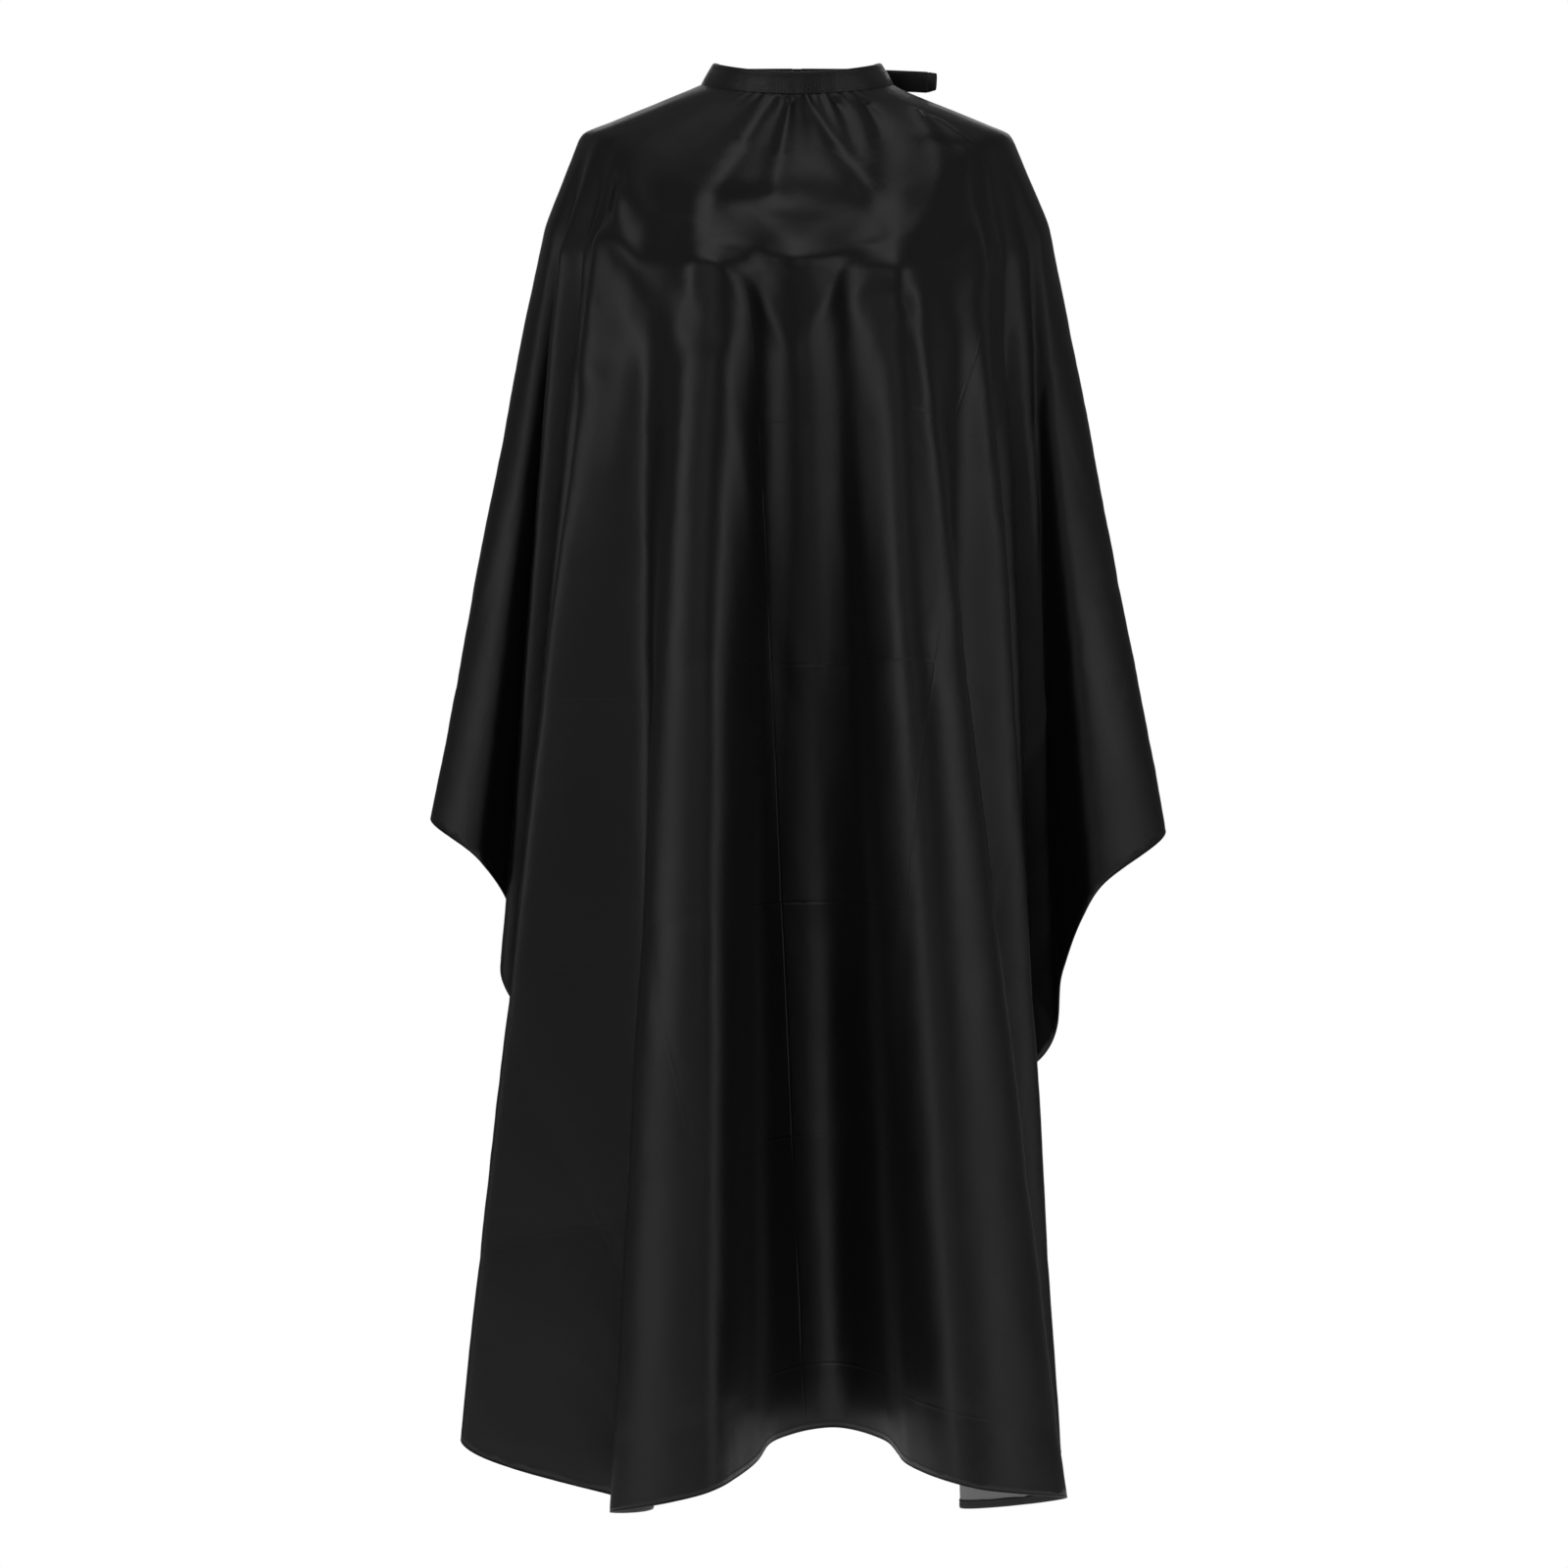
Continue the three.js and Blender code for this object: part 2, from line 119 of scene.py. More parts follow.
# Each fold line: its direction in the flat sheet, in degrees from the front, and the places in
# millimetres that it passes from the neck to the hem, as in the model.
FRONT_FOLDS = [
    (-91, [(-185, 25, -48), (-225, 64, -130), (-312, 92, -665)]),
    (-84, [(-190, 10, -46), (-218, 36, -130), (-225, 50, -655)]),
    (-76, [(-192, 0, -46), (-225, 0, -130), (-322, -8, -650)]),
    (-70, [(-188, -12, -48), (-218, -24, -138), (-284, -40, -700)]),
    (-63, [(-182, -25, -50), (-205, -34, -150), (-258, 20, -775)]),
    (-56, [(-175, -36, -55), (-210, -57, -160), (-262, 6, -870)]),
    (-48, [(-166, -45, -60), (-188, -66, -165), (-155, 38, -985)]),
    (-41, [(-159, -54, -66), (-190, -80, -160), (-272, -8, -1090)]),
    (-35, [(-150, -64, -74), (-176, -92, -160), (-165, -20, -1175)]),
    (-29.5, [(-138, -74, -84), (-176, -112, -150), (-298, -66, -1236)]),
    (-22.5, [(-112, -98, -104), (-128, -128, -180), (-128, -66, -1245)]),
    (-18, [(-88, -128, -130), (-100, -168, -185), (-158, -146, -1240)]),
    (-13.5, [(-62, -126, -130), (-78, -178, -180), (-76, -180, -1235)]),
    (-9, [(-40, -122, -128), (-48, -172, -180), (-40, -108, -1215)]),
    (-4.5, [(-20, -118, -124), (-26, -162, -178), (-20, -26, -1195)]),
    (0, [(0, -116, -122), (0, -156, -176), (32, 12, -1180)]),
    (4.5, [(20, -118, -124), (26, -162, -178), (78, -34, -1190)]),
    (9, [(40, -122, -128), (48, -172, -180), (98, -116, -1210)]),
    (13.5, [(62, -126, -130), (78, -178, -180), (150, -172, -1235)]),
    (18, [(88, -128, -130), (100, -168, -185), (231, -118, -1240)]),
    (22.5, [(112, -98, -104), (128, -128, -180), (140, -76, -1245)]),
    (29, [(138, -74, -84), (162, -104, -150), (232, -36, -1238)]),
    (34.5, [(150, -64, -74), (168, -90, -160), (150, 0, -1175)]),
    (40.5, [(158, -54, -66), (180, -76, -160), (218, 30, -1085)]),
    (47, [(166, -45, -60), (182, -62, -165), (150, 80, -990)]),
    (52, [(171, -40, -57), (196, -52, -163), (228, 52, -890)]),
    (58, [(177, -33, -54), (204, -40, -156), (240, 24, -830)]),
    (66, [(185, -18, -50), (216, -32, -140), (268, -30, -735)]),
    (73, [(190, 0, -48), (224, -4, -128), (332, 12, -690)]),
    (79.5, [(190, 10, -46), (212, 36, -130), (240, 50, -672)]),
    (89, [(185, 25, -48), (228, 64, -130), (322, 98, -672)]),
]
# The back's folds, from the wing to the slit, are the same on both sides.
BACK_FOLDS = [
    (WING_ANGLE, [(170, 60, -52), (205, 90, -120), (205, 130, -655)]),
    (102, [(150, 80, -50), (192, 102, -112), (170, 122, -425)]),
    (108, [(140, 86, -50), (178, 110, -100), (158, 118, -238)]),
    (122, [(118, 96, -52), (150, 117, -76)]),
    (150, [(60, 110, -32), (70, 132, -62)]),
    (180, [(2, 112, -26)]),
]
OTHER_SIDE = [(-angle, [(-x, y, z) for x, y, z in via]) for angle, via in reversed(BACK_FOLDS)]
FOLDS = OTHER_SIDE + FRONT_FOLDS + BACK_FOLDS


def smooth(t):
    return t * t * (3 - 2 * t)


def turn_of(flat):
    """Directions of flat places from the neck hole's centre, in degrees from the front."""
    return np.degrees(np.arctan2(flat[:, 0], -flat[:, 1]))


def from_hole(flat):
    """How far flat places are from the neck hole's edge."""
    return np.maximum(np.hypot(*flat.T) - HOLE_RADIUS, 0)


# ---- camera, light and floor ----
def add_object(name, data):
    made = bpy.data.objects.new(name, data)
    scene.collection.objects.link(made)
    return made


def add_camera():
    lens = bpy.data.cameras.new("camera")
    lens.sensor_width = SENSOR_WIDTH
    lens.lens = SENSOR_WIDTH * CAMERA_DISTANCE / FRAME_WIDTH
    camera = add_object("camera", lens)
    camera.location = (CAMERA_X, -CAMERA_DISTANCE, CAMERA_Z)
    camera.rotation_euler = (math.radians(90), 0, 0)
    scene.camera = camera


def add_area_light(name, place, aim, size, power):
    light = bpy.data.lights.new(name, "AREA")
    light.shape = "RECTANGLE"
    light.size, light.size_y = size
    light.energy = power
    lamp = add_object(name, light)
    lamp.location = place
    lamp.rotation_euler = (Vector(aim) - Vector(place)).to_track_quat("-Z", "Y").to_euler()


# Each soft box: its place, what it aims at, its width and height in metres, and its watts.
SOFT_BOXES = {
    "left_box": ((-2.6, -1.9, -0.1), (0, 0, -0.6), (1.3, 2.6), 11),
    "right_box": ((2.6, -1.6, -0.1), (0, 0, -0.6), (0.6, 2.6), 8),
    "top_box": ((0.2, -1.6, 2.2), (0, 0, -0.3), (1.6, 1.0), 3.5),
    "back_box": ((0.0, 3.2, 0.6), (0, 0, -0.6), (2.4, 2.4), 16),
    "front_box": ((-0.5, -4.3, 0.35), (0, 0, -0.3), (2.4, 1.9), 6),
    "overhead_box": ((0.0, -0.5, 2.4), (0, 0, -0.2), (2.0, 2.0), 7),
}


def add_studio():
    """White surroundings, dimmer as a light than to the camera, and the soft boxes."""
    strength_seen = 1.0
    strength_as_light = 0.11
    white = (1, 1, 1, 1)
    world = bpy.data.worlds.new("studio")
    scene.world = world
    world.use_nodes = True
    nodes = world.node_tree.nodes
    links = world.node_tree.links
    seen = nodes["Background"]
    shining = nodes.new("ShaderNodeBackground")
    for background, strength in ((seen, strength_seen), (shining, strength_as_light)):
        background.inputs["Color"].default_value = white
        background.inputs["Strength"].default_value = strength
    path = nodes.new("ShaderNodeLightPath")
    mix = nodes.new("ShaderNodeMixShader")
    links.new(path.outputs["Is Camera Ray"], mix.inputs["Fac"])
    links.new(shining.outputs["Background"], mix.inputs[1])
    links.new(seen.outputs["Background"], mix.inputs[2])
    links.new(mix.outputs["Shader"], nodes["World Output"].inputs["Surface"])
    for name, settings in SOFT_BOXES.items():
        add_area_light(name, *settings)


def add_floor():
    half = 2.1
    below_hem = 0.45
    glow = 0.35
    pale = 0.92
    height = cad_low.z - below_hem
    corners = [(x * half, y * half, height) for x, y in ((-1, -1), (1, -1), (1, 1), (-1, 1))]
    mesh = bpy.data.meshes.new("studio_floor")
    mesh.from_pydata(corners, [], [(0, 1, 2, 3)])
    floor = add_object("studio_floor", mesh)
    paint = Finish("studio_floor", (pale, pale, pale), 0.9)
    paint.shader.inputs["Emission Color"].default_value = (1, 1, 1, 1)
    paint.shader.inputs["Emission Strength"].default_value = glow
    mesh.materials.append(paint.material)


# ---- materials ----
class Finish:
    """A node-based material on one Principled shader."""

    def __init__(self, name, color, roughness):
        self.material = bpy.data.materials.new(name)
        self.material.use_nodes = True
        self.nodes = self.material.node_tree.nodes
        self.links = self.material.node_tree.links
        self.shader = self.nodes["Principled BSDF"]
        self.shader.inputs["Base Color"].default_value = (*color, 1)
        self.shader.inputs["Roughness"].default_value = roughness
        self.bump = None

    def node(self, kind, inputs=(), **settings):
        made = self.nodes.new("ShaderNode" + kind)
        for key, value in settings.items():
            setattr(made, key, value)
        for socket, value in dict(inputs).items():
            if isinstance(value, bpy.types.NodeSocket):
                self.links.new(value, made.inputs[socket])
            else:
                made.inputs[socket].default_value = value
        return made

    def math(self, operation, first, second=0.0):
        return self.node("Math", {0: first, 1: second}, operation=operation).outputs[0]

    def noise(self, vector, scale, detail=2.0):
        values = {"Vector": vector, "Scale": scale, "Detail": detail}
        return self.node("TexNoise", values).outputs["Fac"]

    def ramp(self, value, low, high, out_low, out_high):
        values = {"Value": value, "From Min": low, "From Max": high}
        values |= {"To Min": out_low, "To Max": out_high}
        return self.node("MapRange", values, interpolation_type="SMOOTHSTEP").outputs["Result"]

    def add_bump(self, height, depth, strength=1.0):
        values = {"Height": height, "Distance": depth, "Strength": strength}
        bump = self.node("Bump", values)
        if self.bump:
            self.links.new(self.bump.outputs["Normal"], bump.inputs["Normal"])
        self.links.new(bump.outputs["Normal"], self.shader.inputs["Normal"])
        self.bump = bump

    def vary_roughness(self, value, low, high):
        self.links.new(self.ramp(value, 0.3, 0.7, low, high), self.shader.inputs["Roughness"])

    def vary_color(self, value, dark, light):
        mix = self.node("Mix", {"Factor": value, "A": (*dark, 1), "B": (*light, 1)}, data_type="RGBA")
        self.links.new(mix.outputs["Result"], self.shader.inputs["Base Color"])


def thread_scale(pitch):
    """The scale at which a wave texture's bands are a pitch apart."""
    wave_bands_per_unit = 20
    return 2 * math.pi / (wave_bands_per_unit * pitch)


def add_weave(finish, vector, pitch, depth):
    """A plain weave: threads crossing both ways."""
    bands = []
    for direction in ("X", "Y"):
        values = {"Vector": vector, "Scale": thread_scale(pitch), "Distortion": 0.4}
        wave = finish.node("TexWave", values, wave_type="BANDS", bands_direction=direction)
        bands.append(wave.outputs["Fac"])
    finish.add_bump(finish.math("MAXIMUM", *bands), depth)


# The packing creases: where the first row and column lie in the flat sheet, and how far apart.
CREASE_ROWS = (-0.400, 0.209)
CREASE_COLUMNS = (-0.048, 0.212)


def crease_height(finish, flat, axis, first, pitch):
    """Fold marks left by the packing: sharp lines in the flat sheet that fade in and out, mostly
    in the middle and below the chest."""
    line_half_width = 0.0022
    middle_end, sides_start, share_at_sides = 0.10, 0.19, 0.15
    chest_end, creases_start = -0.26, -0.36
    parts = finish.node("SeparateXYZ", {"Vector": flat})
    sideways = finish.math("ABSOLUTE", parts.outputs["X"])
    middle = finish.ramp(sideways, middle_end, sides_start, 1, share_at_sides)
    below_chest = finish.ramp(parts.outputs["Y"], creases_start, chest_end, 1, 0)
    middle = finish.math("MULTIPLY", middle, below_chest)
    shifted = finish.math("SUBTRACT", parts.outputs[axis], first)
    away = finish.math("PINGPONG", shifted, pitch / 2)
    line = finish.ramp(away, 0, line_half_width, 1, 0)
    patchy = finish.ramp(finish.noise(flat, 7.0), 0.42, 0.62, 0.15, 1)
    return finish.math("MULTIPLY", finish.math("MULTIPLY", line, patchy), middle)


def make_taffeta():
    """Black coated taffeta, mapped by the flat sheet's own coordinates in metres."""
    dark = (0.0052, 0.0045, 0.0045)
    light = (0.0068, 0.0060, 0.0060)
    crease_depth = 0.0005
    finish = Finish("black_taffeta", dark, 0.3)
    flat = finish.node("UVMap", uv_map="flat").outputs["UV"]
    finish.add_bump(finish.noise(flat, 16.0, 3.0), 0.0012, 0.5)
    rows = crease_height(finish, flat, "Y", *CREASE_ROWS)
    columns = crease_height(finish, flat, "X", *CREASE_COLUMNS)
    finish.add_bump(finish.math("MAXIMUM", rows, columns), crease_depth)
    finish.add_bump(finish.noise(flat, 120.0), 0.00012, 0.5)
    add_weave(finish, flat, 0.0006, 0.00003)
    finish.vary_roughness(finish.noise(flat, 5.0, 3.0), 0.31, 0.40)
    finish.vary_color(finish.noise(flat, 900.0), dark, light)
    finish.shader.inputs["Sheen Weight"].default_value = 0.04
    finish.shader.inputs["Sheen Roughness"].default_value = 0.4
    return finish.material


def make_lining():
    """The silver-grey coating on the inside of the sheet."""
    finish = Finish("silver_coating", (0.34, 0.34, 0.35), 0.42)
    flat = finish.node("UVMap", uv_map="flat").outputs["UV"]
    finish.add_bump(finish.noise(flat, 16.0, 3.0), 0.0012, 0.5)
    add_weave(finish, flat, 0.0006, 0.00003)
    finish.vary_color(finish.noise(flat, 40.0, 4.0), (0.28, 0.28, 0.29), (0.40, 0.40, 0.41))
    finish.vary_roughness(finish.noise(flat, 9.0, 3.0), 0.38, 0.5)
    return finish.material


# Each woven finish: its dark and light colours, roughness, thread pitch and the weave's depth.
WOVEN = {
    "hem_taffeta": ((0.0065, 0.0065, 0.0072), (0.009, 0.009, 0.0098), 0.33, 0.0006, 0.00003),
    "band_taffeta": ((0.008, 0.008, 0.009), (0.011, 0.011, 0.012), 0.34, 0.0006, 0.00005),
    "facing_knit": ((0.02, 0.02, 0.022), (0.03, 0.03, 0.032), 0.7, 0.0009, 0.00012),
    "stiffener_felt": ((0.62, 0.62, 0.59), (0.74, 0.74, 0.71), 0.85, 0.0008, 0.0001),
    "black_thread": ((0.012, 0.012, 0.013), (0.02, 0.02, 0.021), 0.45, 0.0003, 0.00004),
    "loop_pile": ((0.012, 0.012, 0.013), (0.02, 0.02, 0.021), 0.85, 0.0005, 0.00008),
    "hook_nylon": ((0.012, 0.012, 0.013), (0.016, 0.016, 0.017), 0.4, 0.0005, 0.00005),
}


def make_woven(name, dark, light, roughness, pitch, depth):
    """A fabric mapped by its place on the object, for the small sewn pieces."""
    finish = Finish(name, dark, roughness)
    place = finish.node("TexCoord").outputs["Object"]
    finish.add_bump(finish.noise(place, 90.0, 3.0), 0.0005, 0.5)
    add_weave(finish, place, pitch, depth)
    finish.vary_color(finish.noise(place, 600.0), dark, light)
    finish.vary_roughness(finish.noise(place, 60.0), roughness - 0.05, roughness + 0.06)
    finish.shader.inputs["Sheen Weight"].default_value = 0.08
    return finish.material


# ---- meshes ----
def make_mesh_object(name, places, faces, materials, smooth=True):
    mesh = bpy.data.meshes.new(name)
    mesh.from_pydata([tuple(p) for p in places], [], [tuple(f) for f in faces])
    mesh.validate()
    for finish in materials:
        mesh.materials.append(finish)
    mesh.polygons.foreach_set("use_smooth", [smooth] * len(mesh.polygons))
    mesh.update()
    return add_object(name, mesh)


def dress(piece, body, slot, *nodes):
    """Says what a piece rides on and which nodes it stands for; its slot is not used."""
    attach(piece, body)
    if nodes:
        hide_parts(*nodes)
    return piece


def tilt_back(x, y, z):
    """From the neck circle's own plane to the cape's frame."""
    return Vector((
        x,
        y * math.cos(NECK_TILT) - z * math.sin(NECK_TILT),
        y * math.sin(NECK_TILT) + z * math.cos(NECK_TILT),
    ))


NECK_UP = tilt_back(0, 0, 1)


def neck_outward(angle):
    a = math.radians(angle)
    return tilt_back(math.sin(a), -math.cos(a), 0)


def neck_place(angle, radius, height):
    """A place on the neckband, its angle in degrees from the front towards +X. The lower edge
    flares out and the sides ride up on the shoulders, both fading towards the back."""
    a = math.radians(angle)
    side = math.sin(a)
    back = -math.cos(a)
    t = min(max((back - FLARE_FADES_FROM) / (FLARE_FADES_TO - FLARE_FADES_FROM), 0), 1)
    share = 1 - smooth(t)
    drop = 0.5 - height / BAND_HEIGHT
    x = radius * side + side * abs(side) * SIDE_FLARE * drop * share
    y = radius * back - max(-back, 0) ** 2 * FRONT_FLARE * drop
    return tilt_back(x, y, height + side**2 * SIDE_RISE * share)


def neck_up(angle):
    """How a place on the neckband moves for each metre of height."""
    rise = BAND_HEIGHT / 2
    top = neck_place(angle, BAND_SURFACE, rise)
    return (top - neck_place(angle, BAND_SURFACE, -rise)) / BAND_HEIGHT


# ---- the flat sheet's mesh ----
def stepped_line(start, end, step):
    count = max(1, round(math.dist(start, end) / step))
    return [
        (start[0] + (end[0] - start[0]) * i / count, start[1] + (end[1] - start[1]) * i / count)
        for i in range(count)
    ]


def stepped_arc(centre, radius, start, end, step):
    count = max(2, round(abs(end - start) * radius / step))
    angles = [start + (end - start) * i / count for i in range(count)]
    return [(centre[0] + radius * math.cos(a), centre[1] + radius * math.sin(a)) for a in angles]


def outer_edges(step, inset=0.0):
    """The sheet's outer outline from one end of the back slit round the front to the other,
    in five runs: back, side, front with its round corners, side, back."""
    right = HALF_WIDTH - inset
    back = BACK_MARGIN - inset
    front = -FRONT_REACH + inset
    radius = CORNER_RADIUS - inset
    inner = right - radius
    side_end = front + radius
    eighth = math.pi / 4
    slit = SLIT_HALF_GAP + inset
    first_corner = stepped_arc((inner, side_end), radius, 0, -eighth, step)
    front_run = stepped_arc((inner, side_end), radius, -eighth, -2 * eighth, step)
    front_run += stepped_line((inner, front), (-inner, front), step)
    front_run += stepped_arc((-inner, side_end), radius, -2 * eighth, -3 * eighth, step)
    last_corner = stepped_arc((-inner, side_end), radius, -3 * eighth, -4 * eighth, step)
    return [
        stepped_line((slit, back), (right, back), step),
        stepped_line((right, back), (right, side_end), step) + first_corner,
        front_run,
        last_corner + stepped_line((-right, side_end), (-right, back), step),
        stepped_line((-right, back), (-slit, back), step),
    ]


def flat_outline(step, hole_step):
    quarter = math.pi / 2
    tip = math.asin(SLIT_HALF_GAP / HOLE_RADIUS)
    slit_foot = HOLE_RADIUS * math.cos(tip)
    slit_step = (BACK_MARGIN - slit_foot) / 4
    points = [point for run in outer_edges(step) for point in run]
    points += stepped_line((-SLIT_HALF_GAP, BACK_MARGIN), (-SLIT_HALF_GAP, slit_foot), slit_step)
    points += stepped_arc((0, 0), HOLE_RADIUS, quarter + tip, 5 * quarter - tip, hole_step)
    points += stepped_line((SLIT_HALF_GAP, slit_foot), (SLIT_HALF_GAP, BACK_MARGIN), slit_step)
    return points


def inside_outline(points, outline):
    x, y = points[:, 0], points[:, 1]
    inside = np.zeros(len(points), bool)
    previous = outline[-1]
    for corner in outline:
        crosses = (corner[1] > y) != (previous[1] > y)
        rise = corner[1] - previous[1]
        if rise:
            slope = (corner[0] - previous[0]) / rise
            inside ^= crosses & (x < slope * (y - corner[1]) + corner[0])
        previous = corner
    return inside


def hexagon_grid(step, low, high):
    rows = np.arange(low[1], high[1], step * math.sqrt(3) / 2)
    across = np.arange(low[0], high[0], step)
    return np.array([(x + step / 2 * (i % 2), y) for i, y in enumerate(rows) for x in across])


def flat_mesh(step, neck_step, neck_reach):
    """Triangles of the flat sheet, finer round the neck hole, slightly uneven so that the folds
    don't follow the grid."""
    outline = flat_outline(step, neck_step)
    edge = np.array(outline)
    coarse = hexagon_grid(step, (-HALF_WIDTH, -FRONT_REACH), (HALF_WIDTH, BACK_MARGIN))
    fine = hexagon_grid(neck_step, (-neck_reach, -neck_reach), (neck_reach, BACK_MARGIN))
    coarse = coarse[np.hypot(*coarse.T) > neck_reach]
    fine = fine[np.hypot(*fine.T) <= neck_reach - neck_step / 2]
    seeded = np.random.default_rng(4)
    wander = 0.1
    clear_of_edge = 0.62
    same_place = 1e-6
    points = [Vector(p) for p in outline]
    for grid, spacing in ((coarse, step), (fine, neck_step)):
        grid = grid + seeded.uniform(-wander, wander, grid.shape) * spacing
        grid = grid[inside_outline(grid, outline)]
        gap = np.full(len(grid), np.inf)
        for corner in edge:
            gap = np.minimum(gap, np.hypot(grid[:, 0] - corner[0], grid[:, 1] - corner[1]))
        points += [Vector(p) for p in grid[gap > clear_of_edge * spacing]]
    ring = list(range(len(outline)))
    result = delaunay_2d_cdt(points, [], [ring], 1, same_place)
    return np.array([tuple(p) for p in result[0]]), np.array(result[2])


def on_neck_edge(flat):
    touch = 0.0005
    return np.hypot(*flat.T) < HOLE_RADIUS + touch


# ---- the sheet hung on its fold lines ----
def along_path(path, distance):
    """Places at distances along a line of points, carried straight on past its end."""
    steps = np.linalg.norm(np.diff(path, axis=0), axis=1)
    marks = np.concatenate([[0], np.cumsum(steps)])
    places = np.column_stack([np.interp(distance, marks, path[:, k]) for k in range(3)])
    beyond = np.maximum(distance - marks[-1], 0)[:, None]
    return places + (path[-1] - path[-2]) / steps[-1] * beyond


def hung_shape(flat):
    """Each flat point's place once the sheet hangs in its folds, smooth across the fold lines."""
    turn = turn_of(flat)
    distance = from_hole(flat)
    keys = np.array([angle for angle, _ in FOLDS])
    lines = []
    for angle, via in FOLDS:
        start = neck_place(angle, SEAM_RADIUS, SEAM_HEIGHT)
        if abs(angle) == 180:
            start.x = math.copysign(SLIT_HALF_GAP, angle)
        path = np.array([tuple(start)] + [tuple(c * MM for c in place) for place in via])
        lines.append(along_path(path, distance))
    lines = np.array(lines)
    last = len(keys) - 1
    left = np.clip(np.searchsorted(keys, turn, side="right") - 1, 0, last - 1)
    pick = np.arange(len(flat))
    around = [np.clip(left + k, 0, last) for k in (-1, 0, 1, 2)]
    before, here, there, after = (lines[i, pick] for i in around)
    key_before, key_here, key_there, key_after = (keys[i][:, None] for i in around)
    width = key_there - key_here
    slope_here = (there - before) / (key_there - key_before) * width
    slope_there = (after - here) / (key_after - key_here) * width
    t = np.clip((turn[:, None] - key_here) / width, 0, 1)
    return (
        (2 * t**3 - 3 * t**2 + 1) * here
        + (t**3 - 2 * t**2 + t) * slope_here
        + (3 * t**2 - 2 * t**3) * there
        + (t**3 - t**2) * slope_there
    )


# ---- the wearer's form, which the cloth rests on while it settles ----
# Height, half width, half depth and centre's y of each level, in millimetres.
FORM_LEVELS = [
    (60, 57, 57, 5),
    (20, 59, 59, 2),
    (0, 61, 60, 0),
    (-15, 85, 64, 0),
    (-30, 125, 72, 3),
    (-45, 165, 80, 6),
    (-60, 186, 88, 10),
    (-90, 194, 96, 8),
    (-140, 184, 108, 2),
    (-200, 165, 112, -2),
    (-260, 142, 100, -2),
    (-400, 118, 84, 0),
    (-500, 140, 98, 5),
    (-620, 160, 112, 10),
    (-760, 140, 96, 10),
    (-800, 110, 76, 10),
]
BUST = Vector((84, -84, -186)) * MM
BUST_RADIUS = 72 * MM


def make_form():
    sides = 48
    squareness = 0.85
    places = []
    for height, half_width, half_depth, centre in FORM_LEVELS:
        for i in range(sides):
            a = 2 * math.pi * i / sides
            wide = math.copysign(abs(math.cos(a)) ** squareness, math.cos(a))
            deep = math.copysign(abs(math.sin(a)) ** squareness, math.sin(a))
            places.append(Vector((wide * half_width, centre + deep * half_depth, height)) * MM)
    faces = []
    for k in range(len(FORM_LEVELS) - 1):
        for i in range(sides):
            j = (i + 1) % sides
            low, high = k * sides, (k + 1) * sides
            faces.append((low + i, high + i, high + j, low + j))
    faces.append(tuple(range(sides)))
    faces.append(tuple(reversed(range(len(places) - sides, len(places)))))
    form = make_mesh_object("form", places, faces, [])
    body = bmesh.new()
    body.from_mesh(form.data)
    for side in (-1, 1):
        ball = bmesh.ops.create_uvsphere(body, u_segments=24, v_segments=16, radius=BUST_RADIUS)
        bmesh.ops.translate(body, verts=ball["verts"], vec=(side * BUST.x, BUST.y, BUST.z))
    bmesh.ops.recalc_face_normals(body, faces=body.faces)
    body.to_mesh(form.data)
    body.free()
    join = form.modifiers.new("join", "REMESH")
    join.mode = "VOXEL"
    join.voxel_size = 0.008
    soften = form.modifiers.new("soften", "SMOOTH")
    soften.iterations = 6
    form.modifiers.new("touch", "COLLISION")
    form.collision.thickness_outer = 0.003
    form.collision.cloth_friction = 6
    form.collision.damping = 0.8
    return form


# How firmly the sheet is held to where it hangs: softly down to HOLD_STARTS metres from the neck
# opening's centre, and fully from HOLD_FULL.
HOLD_ABOVE = 0.02
HOLD_BELOW = 0.2
HOLD_STARTS = 0.35
HOLD_FULL = 0.80
SETTLE_FRAMES = 35
CALM_FRAME = 15
FIRST_AIR_DRAG = 8.0
CALM_AIR_DRAG = 2.0
# The cloth's stiffness and damping in each way that it can give.
STIFFNESS = {"tension": (40, 6), "compression": (40, 6), "shear": (20, 6), "bending": (2, 0.5)}


